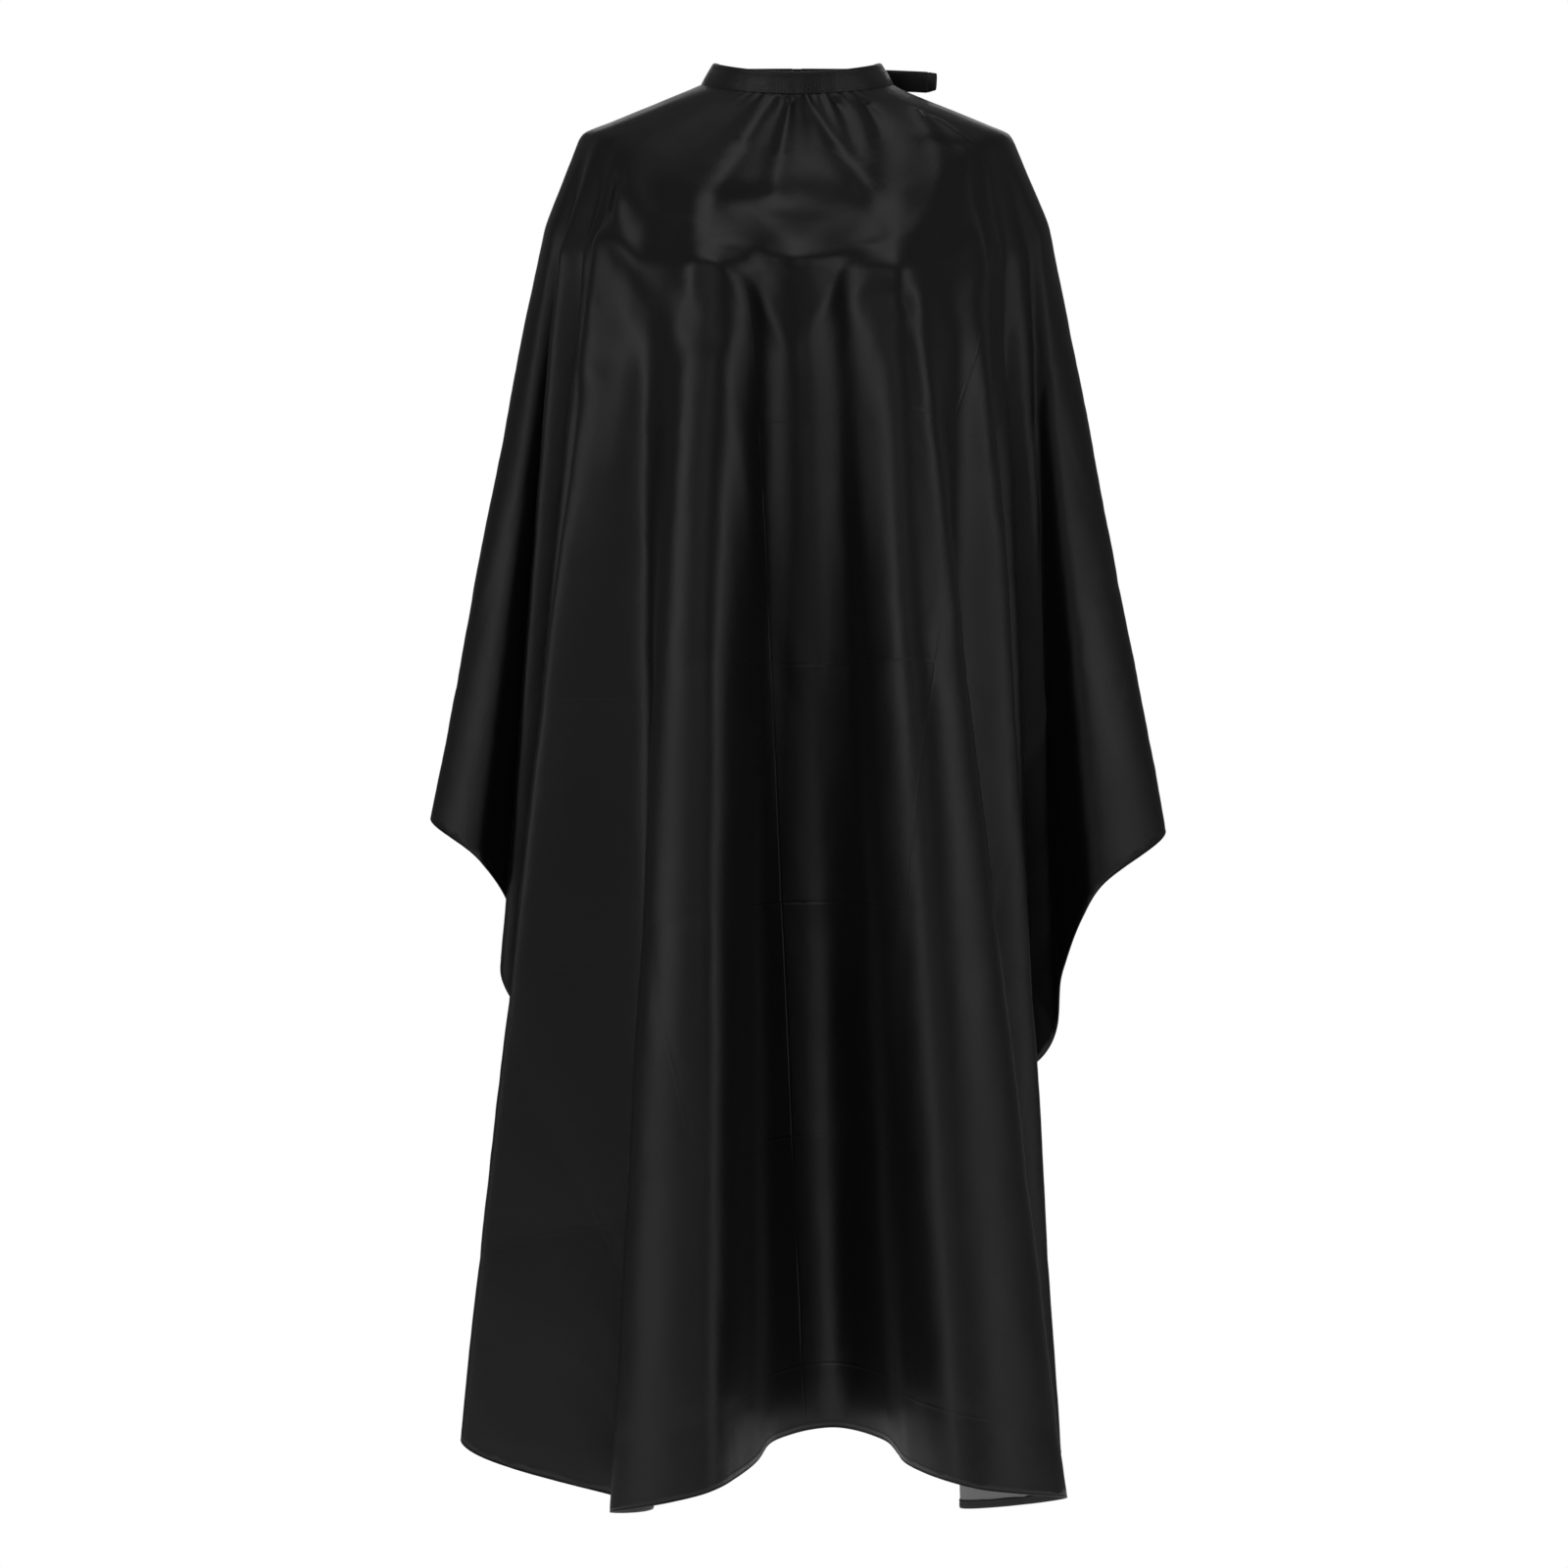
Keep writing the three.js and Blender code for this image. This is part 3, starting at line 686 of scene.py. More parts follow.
def settle(flat, faces, start):
    """Lets the cloth settle from its hung shape on the form and returns the new places. Its rest
    shape is the flat sheet, and the lower folds are held softly to where they hang."""
    cloth_object = make_mesh_object("settling_cloth", start, faces, [])
    cloth_object.shape_key_add(name="Basis")
    cut = cloth_object.shape_key_add(name="Flat")
    cut.data.foreach_set("co", np.column_stack([flat, np.zeros(len(flat))]).ravel())
    reach = np.hypot(*flat.T)
    blend = np.clip((reach - HOLD_STARTS) / (HOLD_FULL - HOLD_STARTS), 0, 1)
    hold = HOLD_ABOVE + (HOLD_BELOW - HOLD_ABOVE) * smooth(blend)
    hold[on_neck_edge(flat)] = 1
    group = cloth_object.vertex_groups.new(name="hold")
    for i, weight in enumerate(hold):
        group.add([i], float(weight), "REPLACE")
    modifier = cloth_object.modifiers.new("cloth", "CLOTH")
    cloth = modifier.settings
    cloth.quality = 7
    cloth.mass = 0.1
    for way, (stiffness, damping) in STIFFNESS.items():
        setattr(cloth, way + "_stiffness", stiffness)
        setattr(cloth, way + "_damping", damping)
    cloth.air_damping = FIRST_AIR_DRAG
    cloth.vertex_group_mass = "hold"
    cloth.pin_stiffness = 1
    cloth.rest_shape_key = cut
    touch = modifier.collision_settings
    touch.collision_quality = 3
    touch.distance_min = 0.003
    touch.use_self_collision = True
    touch.self_distance_min = 0.003
    touch.self_friction = 3
    form = make_form()
    for clock in (scene, modifier.point_cache):
        clock.frame_start = 1
        clock.frame_end = SETTLE_FRAMES
    for number in range(1, SETTLE_FRAMES + 1):
        scene.frame_set(number)
        if number == CALM_FRAME:
            cloth.air_damping = CALM_AIR_DRAG
    depsgraph = bpy.context.evaluated_depsgraph_get()
    settled = cloth_object.evaluated_get(depsgraph).to_mesh()
    places = np.empty(len(settled.vertices) * 3)
    settled.vertices.foreach_get("co", places)
    for used in (cloth_object, form):
        mesh = used.data
        bpy.data.objects.remove(used)
        bpy.data.meshes.remove(mesh)
    scene.frame_set(1)
    return places.reshape(-1, 3)


def twice_area(a, b, c):
    return (b[0] - a[0]) * (c[1] - a[1]) - (c[0] - a[0]) * (b[1] - a[1])


class Surface:
    """A triangle mesh that knows both its flat and its hung places."""

    def __init__(self, flat, faces, places):
        self.flat = flat
        self.faces = faces
        self.places = places
        corners = [(x, y, 0) for x, y in flat]
        self.tree = BVHTree.FromPolygons(corners, [tuple(int(i) for i in f) for f in faces])
        self.normals = self.vertex_normals()

    def vertex_normals(self):
        a, b, c = (self.places[self.faces[:, k]] for k in range(3))
        across = np.cross(b - a, c - a)
        normals = np.zeros_like(self.places)
        for k in range(3):
            np.add.at(normals, self.faces[:, k], across)
        return normals / np.maximum(np.linalg.norm(normals, axis=1), 1e-12)[:, None]

    def carry(self, points):
        """Places and outward directions of points given on the flat sheet."""
        places = np.empty((len(points), 3))
        normals = np.empty((len(points), 3))
        for i, (x, y) in enumerate(points):
            index = self.tree.find_nearest((x, y, 0))[2]
            corners = self.faces[index]
            a, b, c = self.flat[corners]
            whole = twice_area(a, b, c)
            u = twice_area(a, (x, y), c) / whole
            v = twice_area(a, b, (x, y)) / whole
            weights = np.array([1 - u - v, u, v])
            places[i] = weights @ self.places[corners]
            normals[i] = weights @ self.normals[corners]
        return places, normals / np.linalg.norm(normals, axis=1)[:, None]


def refine(flat, faces, places):
    """One step of Loop subdivision: smooth in space, straight in the flat sheet."""
    count = len(flat)
    sides = np.vstack([faces[:, [0, 1]], faces[:, [1, 2]], faces[:, [2, 0]]])
    across = np.concatenate([faces[:, 2], faces[:, 0], faces[:, 1]])
    sides = np.sort(sides, axis=1)
    edges, which, uses = np.unique(sides, axis=0, return_inverse=True, return_counts=True)
    which = which.ravel()
    ends = places[edges[:, 0]] + places[edges[:, 1]]
    opposite = np.zeros((len(edges), 3))
    np.add.at(opposite, which, places[across])
    inner = uses == 2
    middle = np.where(inner[:, None], ends * 3 / 8 + opposite / 8, ends / 2)
    valence = np.bincount(edges.ravel(), minlength=count)
    around = np.zeros((count, 3))
    np.add.at(around, edges[:, 0], places[edges[:, 1]])
    np.add.at(around, edges[:, 1], places[edges[:, 0]])
    beta = (5 / 8 - (3 / 8 + np.cos(2 * np.pi / valence) / 4) ** 2) / valence
    moved = (1 - valence * beta)[:, None] * places + beta[:, None] * around
    rim = edges[~inner]
    along = np.zeros((count, 3))
    np.add.at(along, rim[:, 0], places[rim[:, 1]])
    np.add.at(along, rim[:, 1], places[rim[:, 0]])
    on_rim = np.zeros(count, bool)
    on_rim[rim.ravel()] = True
    moved[on_rim] = places[on_rim] * 3 / 4 + along[on_rim] / 8
    new = which.reshape(3, -1).T + count
    a, b, c = faces.T
    ab, bc, ca = new.T
    finer = [(a, ab, ca), (ab, b, bc), (ca, bc, c), (ab, bc, ca)]
    finer = np.vstack([np.column_stack(corner) for corner in finer])
    finer_flat = np.vstack([flat, (flat[edges[:, 0]] + flat[edges[:, 1]]) / 2])
    return finer_flat, finer, np.vstack([moved, middle])


# ---- small relief that the cloth keeps: gathers, packing folds, unevenness ----
# Each gather at the front of the neck seam: its direction in degrees, length and height in mm.
GATHERS = [
    (-36, 22, 0.8),
    (-31, 34, 1.3),
    (-25, 30, 1.7),
    (-19, 62, 2.2),
    (-13, 34, 1.7),
    (-7, 85, 2.6),
    (-1, 40, 1.6),
    (5, 95, 2.9),
    (11, 42, 1.9),
    (17, 70, 2.3),
    (24, 36, 1.8),
    (31, 52, 1.7),
    (38, 30, 1.2),
    (45, 24, 0.8),
]


def gather_relief(flat):
    turn = turn_of(flat)
    reach = np.hypot(*flat.T)
    away = from_hole(flat)
    relief = np.zeros(len(flat))
    ridge_half_width = 0.0022
    spread = 0.10
    for angle, length, height in GATHERS:
        sideways = np.radians(turn - angle) * reach
        width = ridge_half_width + spread * away
        fade = np.clip(1 - away / (length * MM), 0, 1)
        relief += height * MM * np.exp(-((sideways / width) ** 2)) * fade**1.5
    return relief


# Sharp folds where the cloth is pulled tight between the seam and the fullest places of the chest,
# and from there down. Each runs between two places of the flat sheet, in mm, and has a height and
# a half width at either end. A negative height is a furrow.
PULLS = [
    ((-24, -88), (-78, -250), 3.4, 6, 14),
    ((-78, -250), (-96, -330), 3.4, 14, 18),
    ((-78, -254), (80, -262), 3.2, 11, 11),
    ((8, -88), (72, -250), 4.2, 5, 13),
    ((72, -250), (88, -330), 3.6, 13, 16),
    ((-8, -92), (-16, -190), -5.0, 6, 10),
    ((34, -90), (46, -156), -3.4, 4, 8),
    ((56, -90), (62, -240), -4.0, 5, 12),
    ((96, -94), (86, -240), 3.0, 6, 10),
    ((108, -104), (124, -150), 3.0, 6, 8),
    ((88, -150), (124, -156), -2.6, 7, 7),
    ((-52, -268), (-8, -330), -2.6, 12, 14),
    ((40, -268), (-2, -330), -2.6, 12, 14),
    ((-136, -186), (-200, -350), 6.0, 5, 26),
    ((-134, -186), (-110, -320), 4.5, 5, 18),
    ((-96, -330), (-40, -620), 2.0, 18, 26),
    ((88, -330), (132, -600), 2.2, 14, 22),
    ((96, -300), (176, -560), 2.2, 10, 20),
]


def pull_relief(flat):
    """Folds that meet share their height, and so do furrows."""
    sharpness = 1.4
    sharpness_of_foot = 1.2
    far = 20
    ridges = np.zeros(len(flat))
    furrows = np.zeros(len(flat))
    for start, end, height, wide_start, wide_end in PULLS:
        start, end = np.array(start) * MM, np.array(end) * MM
        along = (end - start) / np.linalg.norm(end - start)
        length = np.linalg.norm(end - start)
        run = (flat - start) @ along
        across = (flat - start) @ np.array([-along[1], along[0]])
        share = np.clip(run / length, 0, 1)
        width = (wide_start + (wide_end - wide_start) * share) * MM
        beyond = np.maximum(np.maximum(-run, run - length), 0)
        away = np.hypot(across, beyond) / width
        relief = height * MM / np.cosh(np.minimum(away * sharpness, far)) ** sharpness_of_foot
        if height > 0:
            ridges = np.hypot(ridges, relief) - 0.5 * np.minimum(ridges, relief)
        else:
            furrows = np.minimum(furrows, relief)
    return ridges + furrows


def packing_relief(flat):
    """Between its packing folds the cloth stays slightly bowed."""
    bow = 0.0011
    fade_start, fade_length = 0.30, 0.10
    relief = np.zeros(len(flat))
    for axis, (first, pitch) in ((1, CREASE_ROWS), (0, CREASE_COLUMNS)):
        phase = np.mod((flat[:, axis] - first) / pitch, 1)
        relief += bow * (4 * phase * (1 - phase)) ** 0.6
    return relief * np.clip((np.hypot(*flat.T) - fade_start) / fade_length, 0, 1)


def uneven_relief(flat):
    """The faint unevenness of thin taffeta."""
    relief = np.empty(len(flat))
    for i, (x, y) in enumerate(flat):
        wide = noise.noise((x * 14, y * 9, 0.3))
        narrow = noise.noise((x * 38, y * 26, 4.7))
        relief[i] = 0.0008 * wide + 0.0003 * narrow
    return relief


def settled_share(flat):
    """How far each place goes from its hung to its settled shape: most on the chest and the front,
    little at the neck seam and on the wings."""
    turn = np.abs(turn_of(flat))
    away = from_hole(flat)
    most = 0.42
    from_seam = np.clip((away - 0.01) / 0.09, 0, 1)
    from_wing = np.clip((60 - turn) / 30, 0.1, 1)
    from_hem = np.clip((0.62 - away) / 0.30, 0.2, 1)
    return most * from_seam * from_wing * from_hem


# The sheet's mesh: its step, its step round the neck hole and how far that finer part reaches.
FINE_MESH = (0.011, 0.0045, 0.15)
SETTLING_MESH = (0.020, 0.008, 0.12)
RELIEF_STARTS = 0.004


def make_surface():
    """The hung sheet, eased towards where it settles, refined, with its small relief."""
    flat, faces = flat_mesh(*FINE_MESH)
    places = hung_shape(flat)
    coarse_flat, coarse_faces = flat_mesh(*SETTLING_MESH)
    hung = hung_shape(coarse_flat)
    settled = settle(coarse_flat, coarse_faces, hung)
    shift = Surface(coarse_flat, coarse_faces, settled - hung).carry(flat)[0]
    places += shift * settled_share(flat)[:, None]
    flat, faces, places = refine(flat, faces, places)
    surface = Surface(flat, faces, places)
    relief = gather_relief(flat) + pull_relief(flat) + packing_relief(flat) + uneven_relief(flat)
    relief *= 1 - np.exp(-from_hole(flat) / RELIEF_STARTS)
    return Surface(flat, faces, places + surface.normals * relief[:, None])


def make_panel(surface, taffeta, lining):
    panel = make_mesh_object("cape_panel_cloth", surface.places, surface.faces, [taffeta, lining])
    layer = panel.data.uv_layers.new(name="flat")
    corners = np.empty(len(panel.data.loops), int)
    panel.data.loops.foreach_get("vertex_index", corners)
    layer.data.foreach_set("uv", surface.flat[corners].ravel())
    thickness = panel.modifiers.new("thickness", "SOLIDIFY")
    thickness.thickness = CLOTH_THICKNESS
    thickness.offset = -1
    thickness.material_offset = 1
    return panel


# ---- hems ----
HEM_NAMES = [
    "hem_back_left_half",
    "hem_left_side",
    "hem_front",
    "hem_right_side",
    "hem_back_right_half",
]
# The turned edge in section: how far in from the edge, and how far out of the cloth, in mm.
HEM_SECTION = [
    (0.2, 0.30),
    (-0.35, 0.05),
    (-0.5, -0.45),
    (-0.3, -0.95),
    (0.4, -1.20),
    (2.5, -1.25),
    (5.2, -1.10),
    (6.2, -1.25),
    (7.0, -1.05),
    (7.1, -0.75),
    (6.6, -0.50),
    (3.0, -0.50),
    (0.8, -0.50),
]
HEM_STEP = 0.006


def make_hems(surface, finish):
    """Each run of the edge turned in and sewn down, as a closed strip that wraps the edge."""
    hems = []
    runs = outer_edges(HEM_STEP)
    next_starts = [run[0] for run in runs[1:]] + [(-SLIT_HALF_GAP, BACK_MARGIN)]
    for name, run, next_start in zip(HEM_NAMES, runs, next_starts):
        line = np.array([*run, next_start])
        edge, outward = surface.carry(line)
        along = np.gradient(line, axis=0)
        along /= np.linalg.norm(along, axis=1)[:, None]
        inward = np.column_stack([along[:, 1], -along[:, 0]]) * HEM_WIDTH
        inner_place, inner_normal = surface.carry(line + inward)
        places = []
        for k in range(len(line)):
            for inset, lift in HEM_SECTION:
                share = inset * MM / HEM_WIDTH
                place = edge[k] + (inner_place[k] - edge[k]) * share
                normal = outward[k] * (1 - max(share, 0)) + inner_normal[k] * max(share, 0)
                places.append(place + normal / np.linalg.norm(normal) * lift * MM)
        faces = loop_faces(len(line), len(HEM_SECTION))
        hem = make_mesh_object(name + "_cloth", places, faces, [finish])
        hems.append(dress(hem, "cape", "hem_fabric", name))
    return hems


def loop_faces(count, around):
    """Faces of a closed section swept along a line of count places, with its ends closed."""
    faces = []
    for k in range(count - 1):
        for j in range(around):
            n = (j + 1) % around
            faces.append((k * around + j, k * around + n, (k + 1) * around + n, (k + 1) * around + j))
    faces.append(tuple(reversed(range(around))))
    faces.append(tuple(range((count - 1) * around, count * around)))
    return faces


# ---- sewn bands ----
def upside_down(section):
    return [(out, -rise) for out, rise in reversed(section)]


def band_section(thickness, height, seam_inset):
    """A doubled fabric strip in section: rolled edges, a hollow at each stitch line and a little
    puff between them. Pairs of (outward, up), from the lower edge."""
    half = height / 2
    roll = thickness / 2
    dip = 0.00016
    puff = 0.00022
    outer = [
        (thickness * 0.75, -half + roll * 0.3),
        (thickness, -half + roll),
        (thickness - dip, -half + seam_inset),
        (thickness + puff * 0.5, -half + seam_inset * 1.7),
        (thickness + puff, -half * 0.3),
    ]
    inner = [
        (thickness * 0.25, half),
        (0, half - roll),
        (0, half - seam_inset),
    ]
    return outer + upside_down(outer) + inner + [(0, 0)] + upside_down(inner)


def sweep(name, frames, section, finish):
    """A closed section swept along frames of (place, outward, up)."""
    places = [
        place + outward * out + up * rise
        for place, outward, up in frames
        for out, rise in section
    ]
    swept = make_mesh_object(name, places, loop_faces(len(frames), len(section)), [finish])
    bend = swept.modifiers.new("rounding", "SUBSURF")
    bend.levels = bend.render_levels = 1
    return swept


def neck_frames(radius, start, end, step=1.0, ripple=None):
    count = max(2, round(abs(end - start) / step))
    frames = []
    for i in range(count + 1):
        angle = start + (end - start) * i / count
        reach = radius + (ripple(angle) if ripple else 0)
        frames.append((neck_place(angle, reach, 0), neck_outward(angle), neck_up(angle)))
    return frames


def band_ripple(angle):
    """The band is a little uneven where the gathers pull at it."""
    at_front = math.exp(-((angle / 45) ** 2))
    all_round = 0.00012 * math.sin(math.radians(angle * 17))
    return all_round + 0.00018 * at_front * math.sin(math.radians(angle * 31))


# ---- stitches ----
STITCH_LENGTH = 0.0022
STITCH_PITCH = 0.0030
THREAD_RADIUS = 0.00019


def distances(spots):
    return np.concatenate([[0], np.cumsum(np.linalg.norm(np.diff(spots, axis=0), axis=1))])


def between(distance, marks, values):
    return Vector([np.interp(distance, marks, values[:, k]) for k in range(3)])


class Tubes:
    """Many short closed tubes in one mesh, for threads and wires."""

    def __init__(self, sides, first_turn=0.0):
        self.turns = [first_turn + 2 * math.pi * j / sides for j in range(sides)]
        self.places = []
        self.faces = []

    def add(self, stations):
        """One tube through stations of (centre, two directions across it, radius)."""
        base = len(self.places)
        for centre, one, other, radius in stations:
            spokes = [one * math.cos(turn) + other * math.sin(turn) for turn in self.turns]
            self.places += [centre + spoke * radius for spoke in spokes]
        faces = loop_faces(len(stations), len(self.turns))
        self.faces += [tuple(base + i for i in face) for face in faces]

    def make(self, name, finish):
        return make_mesh_object(name, self.places, self.faces, [finish])


def stitch_rows(name, rows, finish):
    """Lockstitches along rows of (place, outward): each a short bowed thread."""
    threads = Tubes(5)
    half = STITCH_LENGTH / 2
    # how far along each station is, in stitches, and its swell and lift, in thread radii
    stations = [(-0.5, 0.35, -0.4), (-0.3, 1.0, 0.35), (0.3, 1.0, 0.35), (0.5, 0.35, -0.4)]
    for row in rows:
        spots = np.array([tuple(p) for p, _ in row])
        ways = np.array([tuple(n) for _, n in row])
        marks = distances(spots)
        for middle in np.arange(STITCH_PITCH, marks[-1] - STITCH_PITCH / 2, STITCH_PITCH):
            start, end = (between(middle + side * half, marks, spots) for side in (-1, 1))
            outward = between(middle, marks, ways).normalized()
            along = end - start
            sideways = along.cross(outward).normalized()
            centres = [
                (start + end) / 2 + along * station + outward * lift * THREAD_RADIUS
                for station, _, lift in stations
            ]
            radii = [THREAD_RADIUS * swell for _, swell, _ in stations]
            threads.add([(c, sideways, outward, radius) for c, radius in zip(centres, radii)])
    return threads.make(name, finish)


def neck_row(radius, height, start, end):
    step = 2.0
    frames = neck_frames(radius, start, end, step)
    return [(place + up * height, outward) for place, outward, up in frames]


def hem_rows(surface, inset, lift):
    """Rows along every edge, just off the cloth on one side of it."""
    rows = []
    for run in outer_edges(HEM_STEP, inset):
        places, normals = surface.carry(np.array(run))
        rows.append([
            (Vector(p) + Vector(n) * lift, Vector(n) * math.copysign(1, lift))
            for p, n in zip(places, normals)
        ])
    return rows


# ---- the neckband ----
# The outer layer's top edge folds over to the facing: that fold in section, (outward, up from the
# band's top edge).
TOP_FOLD = [
    (-0.0008, -0.0007),
    (0.0002, -0.0009),
    (0.0009, -0.0012),
    (0.0009, -0.0003),
    (0.0004, 0.0003),
    (-0.0008, 0.0003),
    (-0.0016, -0.0002),
    (-0.0017, -0.0016),
]


def make_neckband(cloth, facing_cloth, thread):
    half = BAND_HEIGHT / 2
    ends = (-BAND_ENDS_ANGLE, BAND_ENDS_ANGLE)
    section = band_section(BAND_FABRIC, BAND_HEIGHT, BAND_SEAM_INSET)
    frames = neck_frames(BAND_OUTER_RADIUS, *ends, ripple=band_ripple)
    outer = sweep("neckband_outer_cloth", frames, section, cloth)
    dress(outer, "cape", "band_fabric", "neckband_outer")
    facing = sweep("neckband_facing_cloth", neck_frames(NECK_RADIUS, *ends), section, facing_cloth)
    dress(facing, "cape", "band_facing", "neckband_facing")
    fold = [(out, rise + half) for out, rise in TOP_FOLD]
    top = sweep("neckband_top_fold", neck_frames(BAND_OUTER_RADIUS, *ends), fold, cloth)
    dress(top, "cape", "band_fabric")
    surface_radius = BAND_OUTER_RADIUS + BAND_FABRIC
    last = BAND_ENDS_ANGLE - 1
    heights = [side * (half - BAND_SEAM_INSET) for side in (-1, 1)]
    rows = [neck_row(surface_radius, height, -last, last) for height in heights]
    over_puff = 0.00005
    rows.append(neck_row(surface_radius + over_puff, -half + 2 * BAND_SEAM_INSET, -last, last))
    dress(stitch_rows("neckband_stitching", rows, thread), "cape", "band_fabric")


# ---- the closure ----
def strap_line():
    """The strap from its root over the fasteners to where it leaves the neck, as neck frames."""
    lifts_over = 10
    lift_start = STRAP_HINGE_ANGLE + lifts_over
    frames = []
    for place_angle in np.arange(STRAP_ROOT_ANGLE, STRAP_LEAVES_ANGLE - 0.5, -1.0):
        rise = smooth(min(max((lift_start - place_angle) / lifts_over, 0), 1))
        radius = BAND_SURFACE + (STRAP_RADIUS - BAND_SURFACE) * rise
        place = neck_place(place_angle, radius, 0)
        frames.append((place, neck_outward(place_angle), neck_up(place_angle)))
    return frames


def tail_frames(radius, start, end, step=0.003):
    """The free tail: straight off the neck, with a slight bow and a twist that grows."""
    root = neck_place(STRAP_LEAVES_ANGLE, radius, 0)
    outward = neck_outward(STRAP_LEAVES_ANGLE)
    along = outward.cross(NECK_UP).normalized()
    if along.x < 0:
        along.negate()
    count = max(2, round((end - start) / step))
    frames = []
    for i in range(count + 1):
        distance = start + (end - start) * i / count
        share = max(distance, 0) / TAIL_LENGTH
        bow = 0.0018 * math.sin(math.pi * share)
        droop = -0.0022 * share**2
        lean = math.radians(7) * share**2
        up = (NECK_UP * math.cos(lean) + outward * math.sin(lean)).normalized()
        out = (outward * math.cos(lean) - NECK_UP * math.sin(lean)).normalized()
        frames.append((root + along * distance + outward * bow + NECK_UP * droop, out, up))
    return frames


def make_strip(name, nodes, frames, cloth, thread):
    """A length of the strap with a stitch row along each edge."""
    section = band_section(BAND_FABRIC, STRAP_HEIGHT, STRAP_SEAM_INSET)
    strip = sweep(name + "_cloth", frames, section, cloth)
    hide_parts(*nodes)
    half = STRAP_HEIGHT / 2 - STRAP_SEAM_INSET
    rows = [
        [(place + outward * BAND_FABRIC + up * half * side, outward) for place, outward, up in frames]
        for side in (-1, 1)
    ]
    stitching = stitch_rows(name + "_stitching", rows, thread)
    for piece in (strip, stitching):
        apply_modifiers(piece)
        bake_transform(piece)


def make_strap(cloth, thread):
    nodes = ("closure_strap_root", "closure_strap")
    make_strip("closure_strap", nodes, strap_line(), cloth, thread)


def make_tail(cloth, thread):
    fold_start = TAIL_LENGTH - TAIL_FOLD_LENGTH
    tucked_into_strap = 0.0015
    tucked_into_fold = 0.002
    frames = tail_frames(STRAP_RADIUS, -tucked_into_strap, fold_start + tucked_into_fold)
    make_strip("closure_tail", ("closure_tail",), frames, cloth, thread)
    make_tail_fold(cloth, thread, fold_start)


def make_tail_fold(cloth, thread, fold_start):
    """The tail's end turned back on itself with its corners folded in, and a row across it."""
    frames = tail_frames(STRAP_RADIUS, fold_start, TAIL_LENGTH, 0.0012)
    half = STRAP_HEIGHT / 2
    thickness = 2 * BAND_FABRIC
    places = []
    for i, (place, outward, up) in enumerate(frames):
        share = i / (len(frames) - 1)
        low = -half + 0.0030 * share
        high = half - 0.0008 * share
        swell = 0.0004 * math.sin(math.pi * share)
        section = [
            (0.0, low + 0.0006),
            (thickness / 2, low),
            (thickness + swell, low + 0.0008),
            (thickness + swell * 2, low * 0.4),
            (thickness + swell * 2, high * 0.4),
            (thickness + swell, high - 0.0008),
            (thickness / 2, high),
            (0.0, high - 0.0006),
        ]
        squeeze = 1 if share < 0.8 else 1 - 0.6 * (share - 0.8) / 0.2
        for out, rise in section:
            out = thickness / 2 + (out - thickness / 2) * squeeze
            places.append(place + outward * out + up * rise)
    fold = make_mesh_object("tail_fold_cloth", places, loop_faces(len(frames), len(section)), [cloth])
    rounding = fold.modifiers.new("rounding", "SUBSURF")
    rounding.levels = rounding.render_levels = 2
    dress(fold, "tail", "band_fabric", "tail_fold")
    place, outward, up = frames[1]
    row_half = 0.0075
    place += outward * (thickness + 0.0001)
    across = [(place + up * rise, outward) for rise in (-row_half, 0, row_half)]
    dress(stitch_rows("tail_fold_stitching", [across], thread), "tail", "band_fabric")


def make_tape(name, frames, low, high, finish):
    """A flat tape as tall as the fasteners, between two distances from the frames."""
    edge = FASTENER_HEIGHT / 2
    section = [(low, -edge), (high, -edge), (high, edge), (low, edge)]
    places = [p + o * out + u * rise for p, o, u in frames for out, rise in section]
    faces = loop_faces(len(frames), len(section))
    return make_mesh_object(name, places, faces, [finish], smooth=False)


def make_hook_tape(name, body, frames, finish, hook_finish):
    """Tape with a field of small bent hooks on its inner side."""
    base_thickness = 0.00045
    top = 0.001
    foot_depth = top - base_thickness
    edge = FASTENER_HEIGHT / 2
    dress(make_tape(name + "_tape", frames, foot_depth, top, finish), body, "hook_tape", name)
    marks = distances(np.array([tuple(p) for p, _, _ in frames]))
    pitch = 0.0016
    wire = 0.00011
    hooks = Tubes(4, math.pi / 4)
    # how deep and how far ahead the hook's wire is at each of its stations
    lean = [(0.0, 0.0), (0.00028, 0.0), (0.00046, 0.00010), (0.00050, 0.00030), (0.00040, 0.00042)]
    for distance in np.arange(pitch / 2, marks[-1], pitch):
        k = min(int(np.searchsorted(marks, distance, side="right")) - 1, len(frames) - 2)
        share = (distance - marks[k]) / (marks[k + 1] - marks[k])
        place = frames[k][0].lerp(frames[k + 1][0], share)
        outward = frames[k][1].lerp(frames[k + 1][1], share).normalized()
        up = frames[k][2]
        along = (frames[k + 1][0] - frames[k][0]).normalized()
        for row, rise in enumerate(np.arange(-edge + pitch / 2, edge, pitch)):
            way = 1 if row % 2 else -1
            foot = place + outward * foot_depth + up * rise
            centres = [foot - outward * deep + along * ahead * way for deep, ahead in lean]
            hooks.add([(centre, along, up, wire) for centre in centres])
    dress(hooks.make(name + "_hooks", hook_finish), body, "hook_tape")


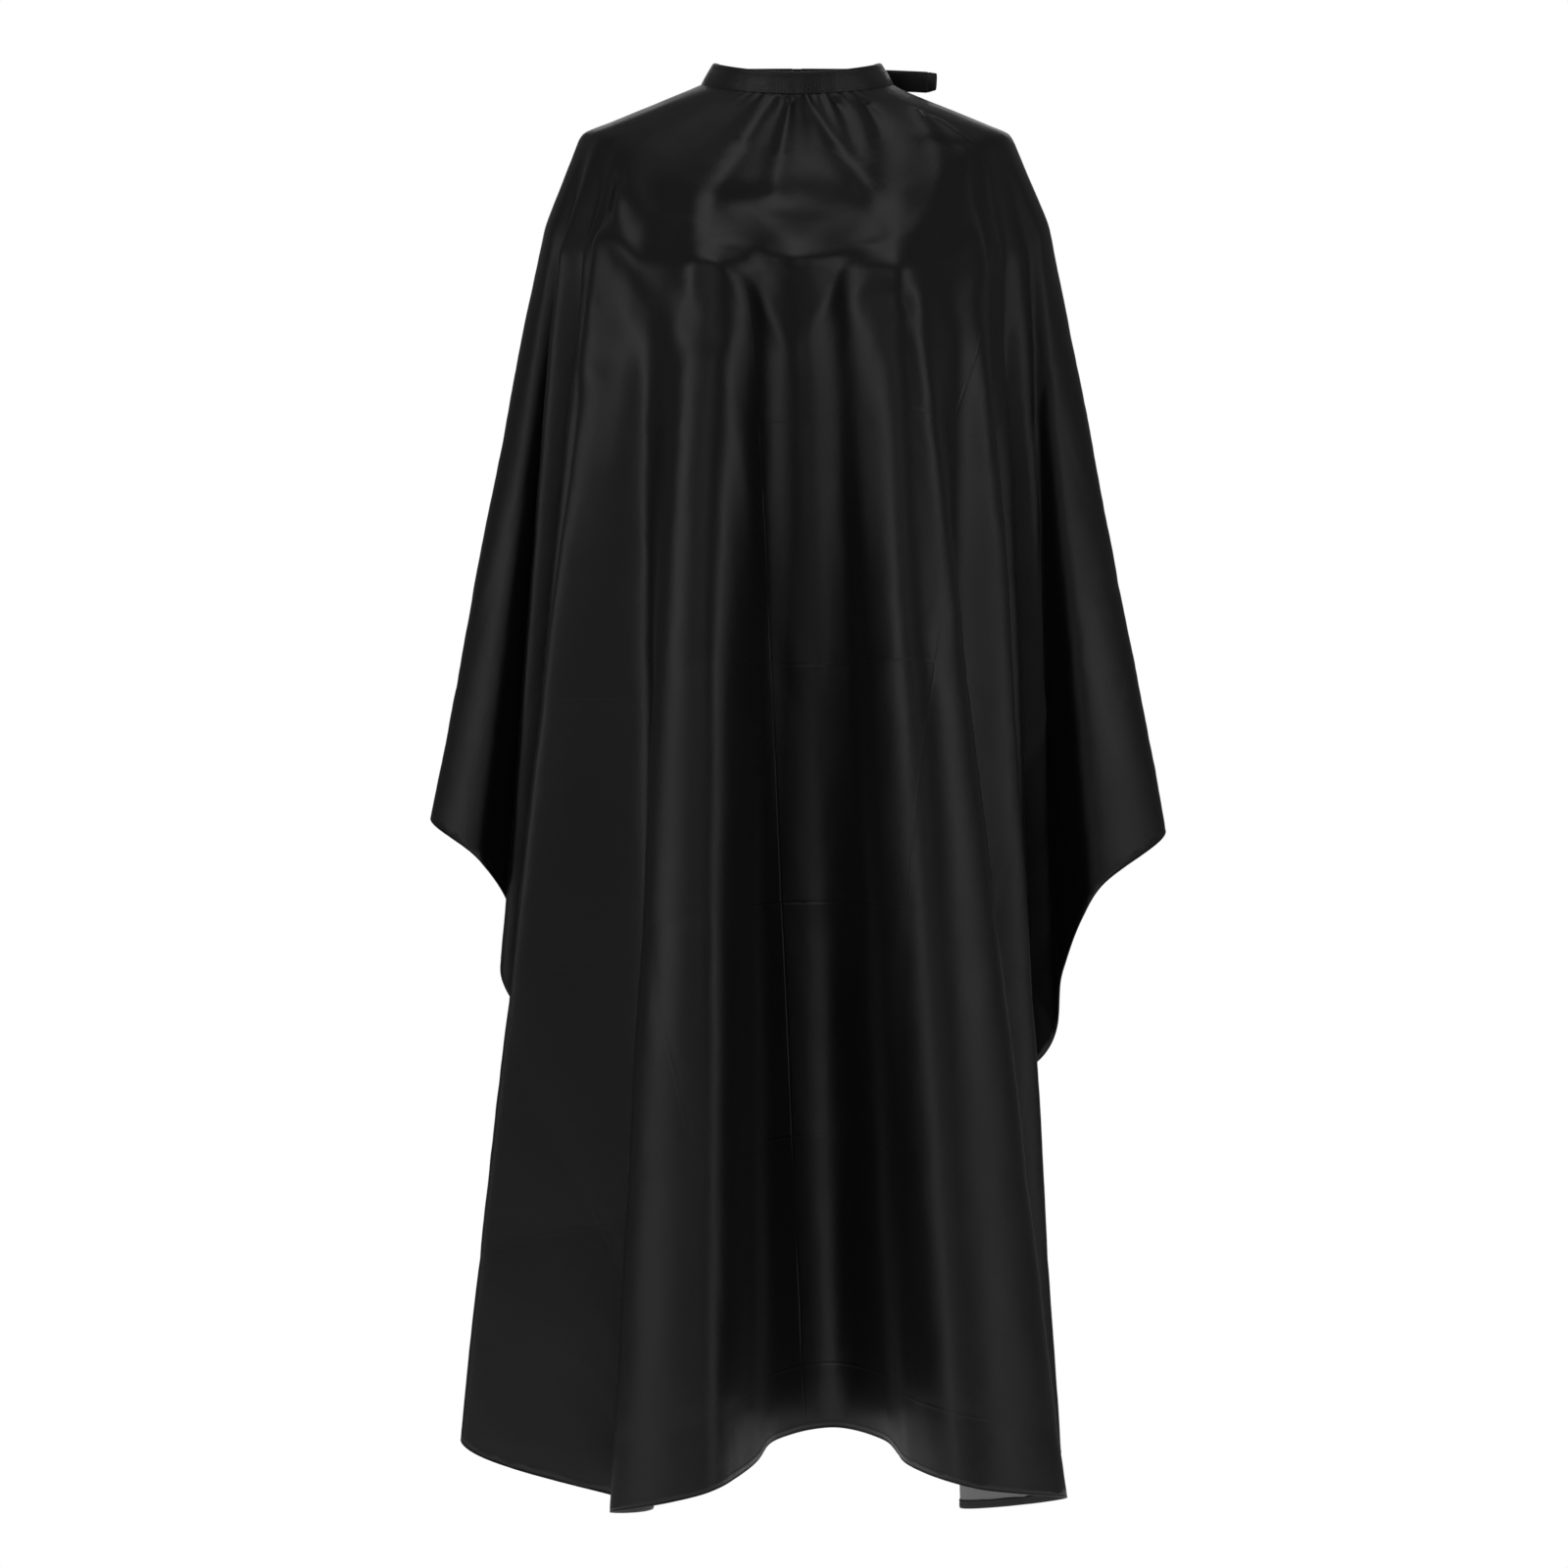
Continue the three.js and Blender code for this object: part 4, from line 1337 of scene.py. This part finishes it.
def make_loop_strip(finish):
    """A knitted base with a pile of small loops standing off it."""
    edge = FASTENER_HEIGHT / 2
    base_thickness = 0.0004
    frames = neck_frames(BAND_SURFACE, LOOP_START_ANGLE, BAND_ENDS_ANGLE)
    base = make_tape("loop_strip_base", frames, 0, base_thickness, finish)
    dress(base, "cape", "loop_pile", "loop_strip")
    seeded = np.random.default_rng(11)
    wire = 0.00007
    loops = Tubes(3)
    half_span = 0.00045
    arch = [0, math.pi / 4, math.pi * 2 / 4, math.pi * 3 / 4, math.pi]
    pitch = 0.0012
    turn_step = math.degrees(pitch / BAND_SURFACE)
    for angle in np.arange(LOOP_START_ANGLE + 0.5, BAND_ENDS_ANGLE - 0.5, turn_step):
        for rise in np.arange(-edge + pitch / 2, edge, pitch):
            wander = seeded.uniform(-0.0004, 0.0004, 2)
            heading = seeded.uniform(0, math.pi)
            height = seeded.uniform(0.00035, 0.0005)
            outward = neck_outward(angle)
            along = outward.cross(NECK_UP)
            way = along * math.cos(heading) + NECK_UP * math.sin(heading)
            across = outward.cross(way)
            foot = neck_place(angle, BAND_SURFACE + base_thickness, rise + wander[0]) + along * wander[1]
            stations = []
            for a in arch:
                centre = foot + way * math.cos(a) * half_span + outward * math.sin(a) * height
                stations.append((centre, way * math.cos(a) + outward * math.sin(a), across, wire))
            loops.add(stations)
    dress(loops.make("loop_strip_pile", finish), "cape", "loop_pile")


def apply_modifiers(piece):
    depsgraph = bpy.context.evaluated_depsgraph_get()
    final = bpy.data.meshes.new_from_object(piece.evaluated_get(depsgraph))
    old = piece.data
    piece.modifiers.clear()
    piece.data = final
    bpy.data.meshes.remove(old)


# ---- making the cape ----
def make_cape():
    taffeta = make_taffeta()
    lining = make_lining()
    woven = {name: make_woven(name, *look) for name, look in WOVEN.items()}
    hem_cloth, band_cloth, facing_cloth, stiffener, thread, pile, hook_plastic = woven.values()
    surface = make_surface()
    panel = make_panel(surface, taffeta, lining)
    dress(panel, "cape", "cape_fabric", "cape_panel")
    hems = make_hems(surface, hem_cloth)
    stitch_inset = 0.0058
    outside_lift = 0.00008
    inside_lift = -0.00125
    rows = hem_rows(surface, stitch_inset, outside_lift)
    outside = stitch_rows("hem_stitching_outside", rows, thread)
    rows = hem_rows(surface, stitch_inset, inside_lift)
    inside = stitch_rows("hem_stitching_inside", rows, thread)
    for stitching in (outside, inside):
        dress(stitching, "cape", "hem_fabric")
    make_neckband(band_cloth, facing_cloth, thread)
    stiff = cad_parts["neckband_interfacing"].data
    stiff.materials.clear()
    stiff.materials.append(stiffener)
    make_strap(band_cloth, thread)
    make_tail(band_cloth, thread)
    make_loop_strip(pile)
    strap_patch = neck_frames(HOOK_RADIUS, BAND_ENDS_ANGLE, STRAP_LEAVES_ANGLE)
    make_hook_tape("hook_patch", "strap", strap_patch, pile, hook_plastic)
    patch_gap = 0.0008
    tail_patch = tail_frames(HOOK_RADIUS, patch_gap, HOOK_ON_TAIL)
    make_hook_tape("tail_hook_patch", "tail", tail_patch, pile, hook_plastic)


scene.view_settings.view_transform = "Standard"
add_camera()
add_studio()
add_floor()
make_cape()
